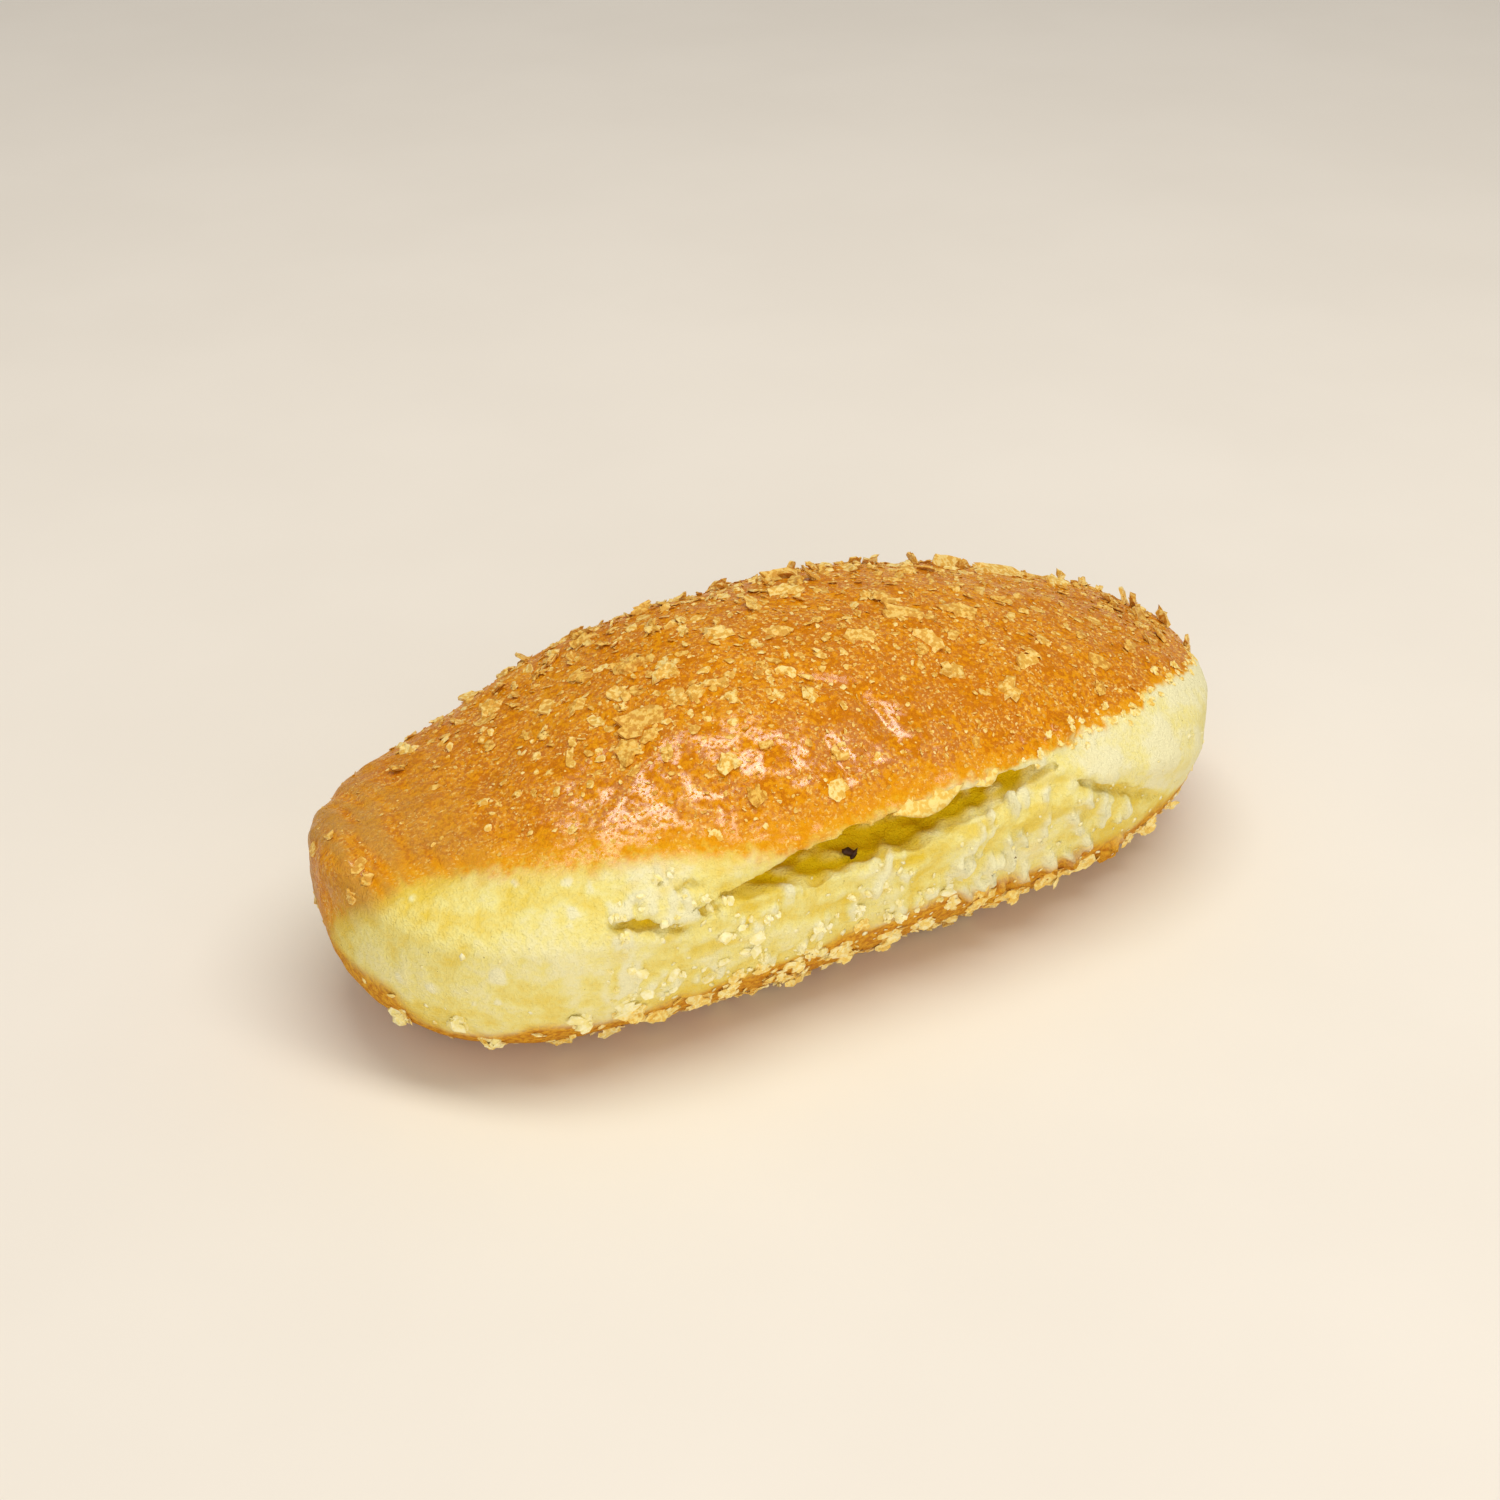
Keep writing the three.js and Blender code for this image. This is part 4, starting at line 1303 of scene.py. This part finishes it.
# %% Crumbs on the side and the foot
FOOT_FLAKES = as_crumbs([
    (-0.57, 207, 4.6, 3, 0, -30), (-0.51, 212, 5.4, 3.2, 0, -35), (-0.22, 217, 5, 3.6, -10, -40),
    (-0.11, 210, 5.2, 3.4, 15, -30), (0.25, 205, 5, 3.8, 40, -30), (0.36, 208, 4.6, 3, 15, -35),
    (0.67, 210, 5.2, 3.2, 30, -42), (-0.588, 204, 4.6, 3.2, 20, -15), (-0.433, 209, 4.4, 3, -20, -20),
    (-0.379, 206, 4.8, 3.2, 10, -15), (-0.372, 200, 3.6, 2.6, 50, -10), (-0.32, 199.5, 3.6, 2.8, 0, -10),
    (-0.23, 204, 4.6, 3.4, 30, -15), (-0.207, 201, 3.8, 2.6, -30, -10), (-0.125, 206, 5.4, 4.4, 10, -15),
    (0, 209, 5, 3.4, -10, -20), (0.071, 208, 4.6, 3.4, 30, -15), (0.121, 199.5, 4.2, 3.2, 60, -10),
    (0.184, 200.5, 5.4, 4, 10, -10), (0.268, 204, 4.4, 3.4, 0, -15), (0.372, 206, 4.6, 3.2, 40, -15),
    (-0.102, 195, 3.2, 2.6, 20, -10),
])
PALE_FOOT = as_crumbs([
    (-0.927, 238, 4.2, 3.4, 20, -10), (-0.871, 210, 4.8, 3.8, 60, -10), (-0.811, 221, 3.8, 2.8, 10, -20),
    (-0.67, 203, 5, 3.6, 15, -15), (-0.6, 201, 4.8, 3.2, 40, -15),
], thickness=0.45)
WALL_ZONES = [(300, (-0.95, 0.85), [(176, 208), (-20, 20)], (1.4, 0.5), 20, 700)]
FOOT_ZONES = [(170, (-0.97, 0.97), [(208, 238), (-56, -28)], (4.4, 2.2), 40, 1)]
SMALL_FOOT_ZONES = [(520, (-0.98, 0.98), [(204, 240), (-58, -24)], (2.4, 0.9), 45, 900)]
BARE_FOOT = {"share": 0.2, "change": (-0.62, -0.37)}  # the split side's left end has few crumbs
BARE_SIDE = {"share": 0.25, "change": (-0.66, -0.46)}


def foot_density(s, angle):
    """Thin at the left end of the split side."""
    return mix(BARE_FOOT["share"], 1.0, ease(s, *BARE_FOOT["change"])) if angle > HALF_TURN else 1.0


def side_density(s, angle):
    return mix(BARE_SIDE["share"], 1.0, ease(s, *BARE_SIDE["change"]))


foot_crumbs = FOOT_FLAKES + in_zones(FOOT_ZONES, foot_density)
pieces += [
    lay("wall_grit", in_zones(WALL_ZONES, side_density), grits, pale_white, soft=True),
    lay("pale_foot", PALE_FOOT, clusters, pale_white),
    lay("foot_flakes", foot_crumbs, clusters + chips[:2] + clusters[::-1], golden),
    lay("foot_crumbs", in_zones(SMALL_FOOT_ZONES, foot_density), grits, golden),
]

# %% [markdown]
# ## Tie every piece to the frame
# The bun stands for the CAD solid, which is then hidden, and every piece rides on the one body of the part.

# %% Tie the pieces
pieces.append(bun)
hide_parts("bread")
for piece in pieces:
    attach(piece, "root")
print("pieces:", sorted(piece.name for piece in pieces))

# %% [markdown]
# ## Floor
# The bun stands on a plain pale floor, a disc so wide that its edge stays far away. A faint mottle keeps it
# from looking flat.

# %% Floor
FLOOR_RADIUS = 3.0
FLOOR_COLOURS = [(0.86, 0.80, 0.72, 1), (0.88, 0.82, 0.74, 1)]
FLOOR_SURFACE = {"Roughness": 0.7, "Specular IOR Level": 0.2}


def floor_material():
    material, tree, shader = new_material("pale floor")
    soft = use_group(tree, mottle, "Mask", Size=60 * MM, Low=0.3, High=0.7)
    feed(tree, shader["Base Color"], blend(tree, soft, *FLOOR_COLOURS))
    for name, value in FLOOR_SURFACE.items():
        shader[name].default_value = value
    return material


disc = bmesh.new()
bmesh.ops.create_circle(disc, cap_ends=True, segments=96, radius=FLOOR_RADIUS)
floor = new_object("floor", disc)
floor.data.materials.append(floor_material())
print("floor radius:", FLOOR_RADIUS, "m")

# %% [markdown]
# ## Light
# A soft box nearly overhead gives the gloss on the shoulder, a large fill from the front lights the pale
# side, and a soft white world lights the rest. Area lights were chosen because their size sets how soft a
# shadow and how wide a gloss is.

# %% Light
SOFT_BOX = {"towards": (0.1, -0.08, 0.98), "along": (0.64, -0.82, -0.16), "size": (0.8, 0.18), "power": 3.2}
FILL = {"towards": (-0.35, -0.9, 0.22), "along": (1, 0, 0), "size": (1.0, 0.6), "power": 2.95}
LIGHT_DISTANCE = 0.72
WORLD_STRENGTH = 0.44
WORLD_COLOUR = (1.0, 0.98, 0.95, 1)
LIGHT_COLOUR = (1.0, 0.96, 0.88)


def soft_light(name, towards, along, size, power):
    """A rectangle of light that faces the bun, its long side along a given way."""
    data = bpy.data.lights.new(name, "AREA")
    data.shape = "RECTANGLE"
    data.size, data.size_y = size
    data.energy = power
    data.color = LIGHT_COLOUR
    light = bpy.data.objects.new(name, data)
    away = Vector(towards).normalized()
    across = away.cross(Vector(along)).normalized()
    light.location = away * LIGHT_DISTANCE
    light.rotation_euler = Matrix((across.cross(away), across, away)).transposed().to_euler()
    bpy.context.scene.collection.objects.link(light)


soft_light("soft box", **SOFT_BOX)
soft_light("fill", **FILL)
world = bpy.data.worlds.new("studio")
world.use_nodes = True
world.node_tree.nodes["Background"].inputs["Color"].default_value = WORLD_COLOUR
world.node_tree.nodes["Background"].inputs["Strength"].default_value = WORLD_STRENGTH
bpy.context.scene.world = world
bpy.context.scene.view_settings.view_transform = "Standard"
print("light powers in watts:", SOFT_BOX["power"], FILL["power"])

# %% [markdown]
# ## Camera
# The camera looks down on the split side from the left. Its place and lens were chosen so that the outline of
# the bun fits the real one, and it is turned by its own backward direction, which leaves no roll.

# %% Camera
AIM = Vector((1.636, 12.109, 15.849)) * MM
VIEW_AZIMUTH = math.radians(-30.774)
VIEW_ELEVATION = math.radians(31)
VIEW_DISTANCE = 380 * MM
LENS = 61.667  # in millimetres, like the sensor
SENSOR_WIDTH = 36
NEAREST_SEEN = 10 * MM

back = Vector((
    math.sin(VIEW_AZIMUTH) * math.cos(VIEW_ELEVATION),
    -math.cos(VIEW_AZIMUTH) * math.cos(VIEW_ELEVATION),
    math.sin(VIEW_ELEVATION),
))
camera_data = bpy.data.cameras.new("camera")
camera_data.lens = LENS
camera_data.sensor_width = SENSOR_WIDTH
camera_data.clip_start = NEAREST_SEEN
camera = bpy.data.objects.new("camera", camera_data)
camera.location = AIM + back * VIEW_DISTANCE
camera.rotation_euler = back.to_track_quat("Z", "Y").to_euler()
bpy.context.scene.collection.objects.link(camera)
bpy.context.scene.camera = camera
print("camera at, in mm:", (camera.location / MM).to_tuple(1))
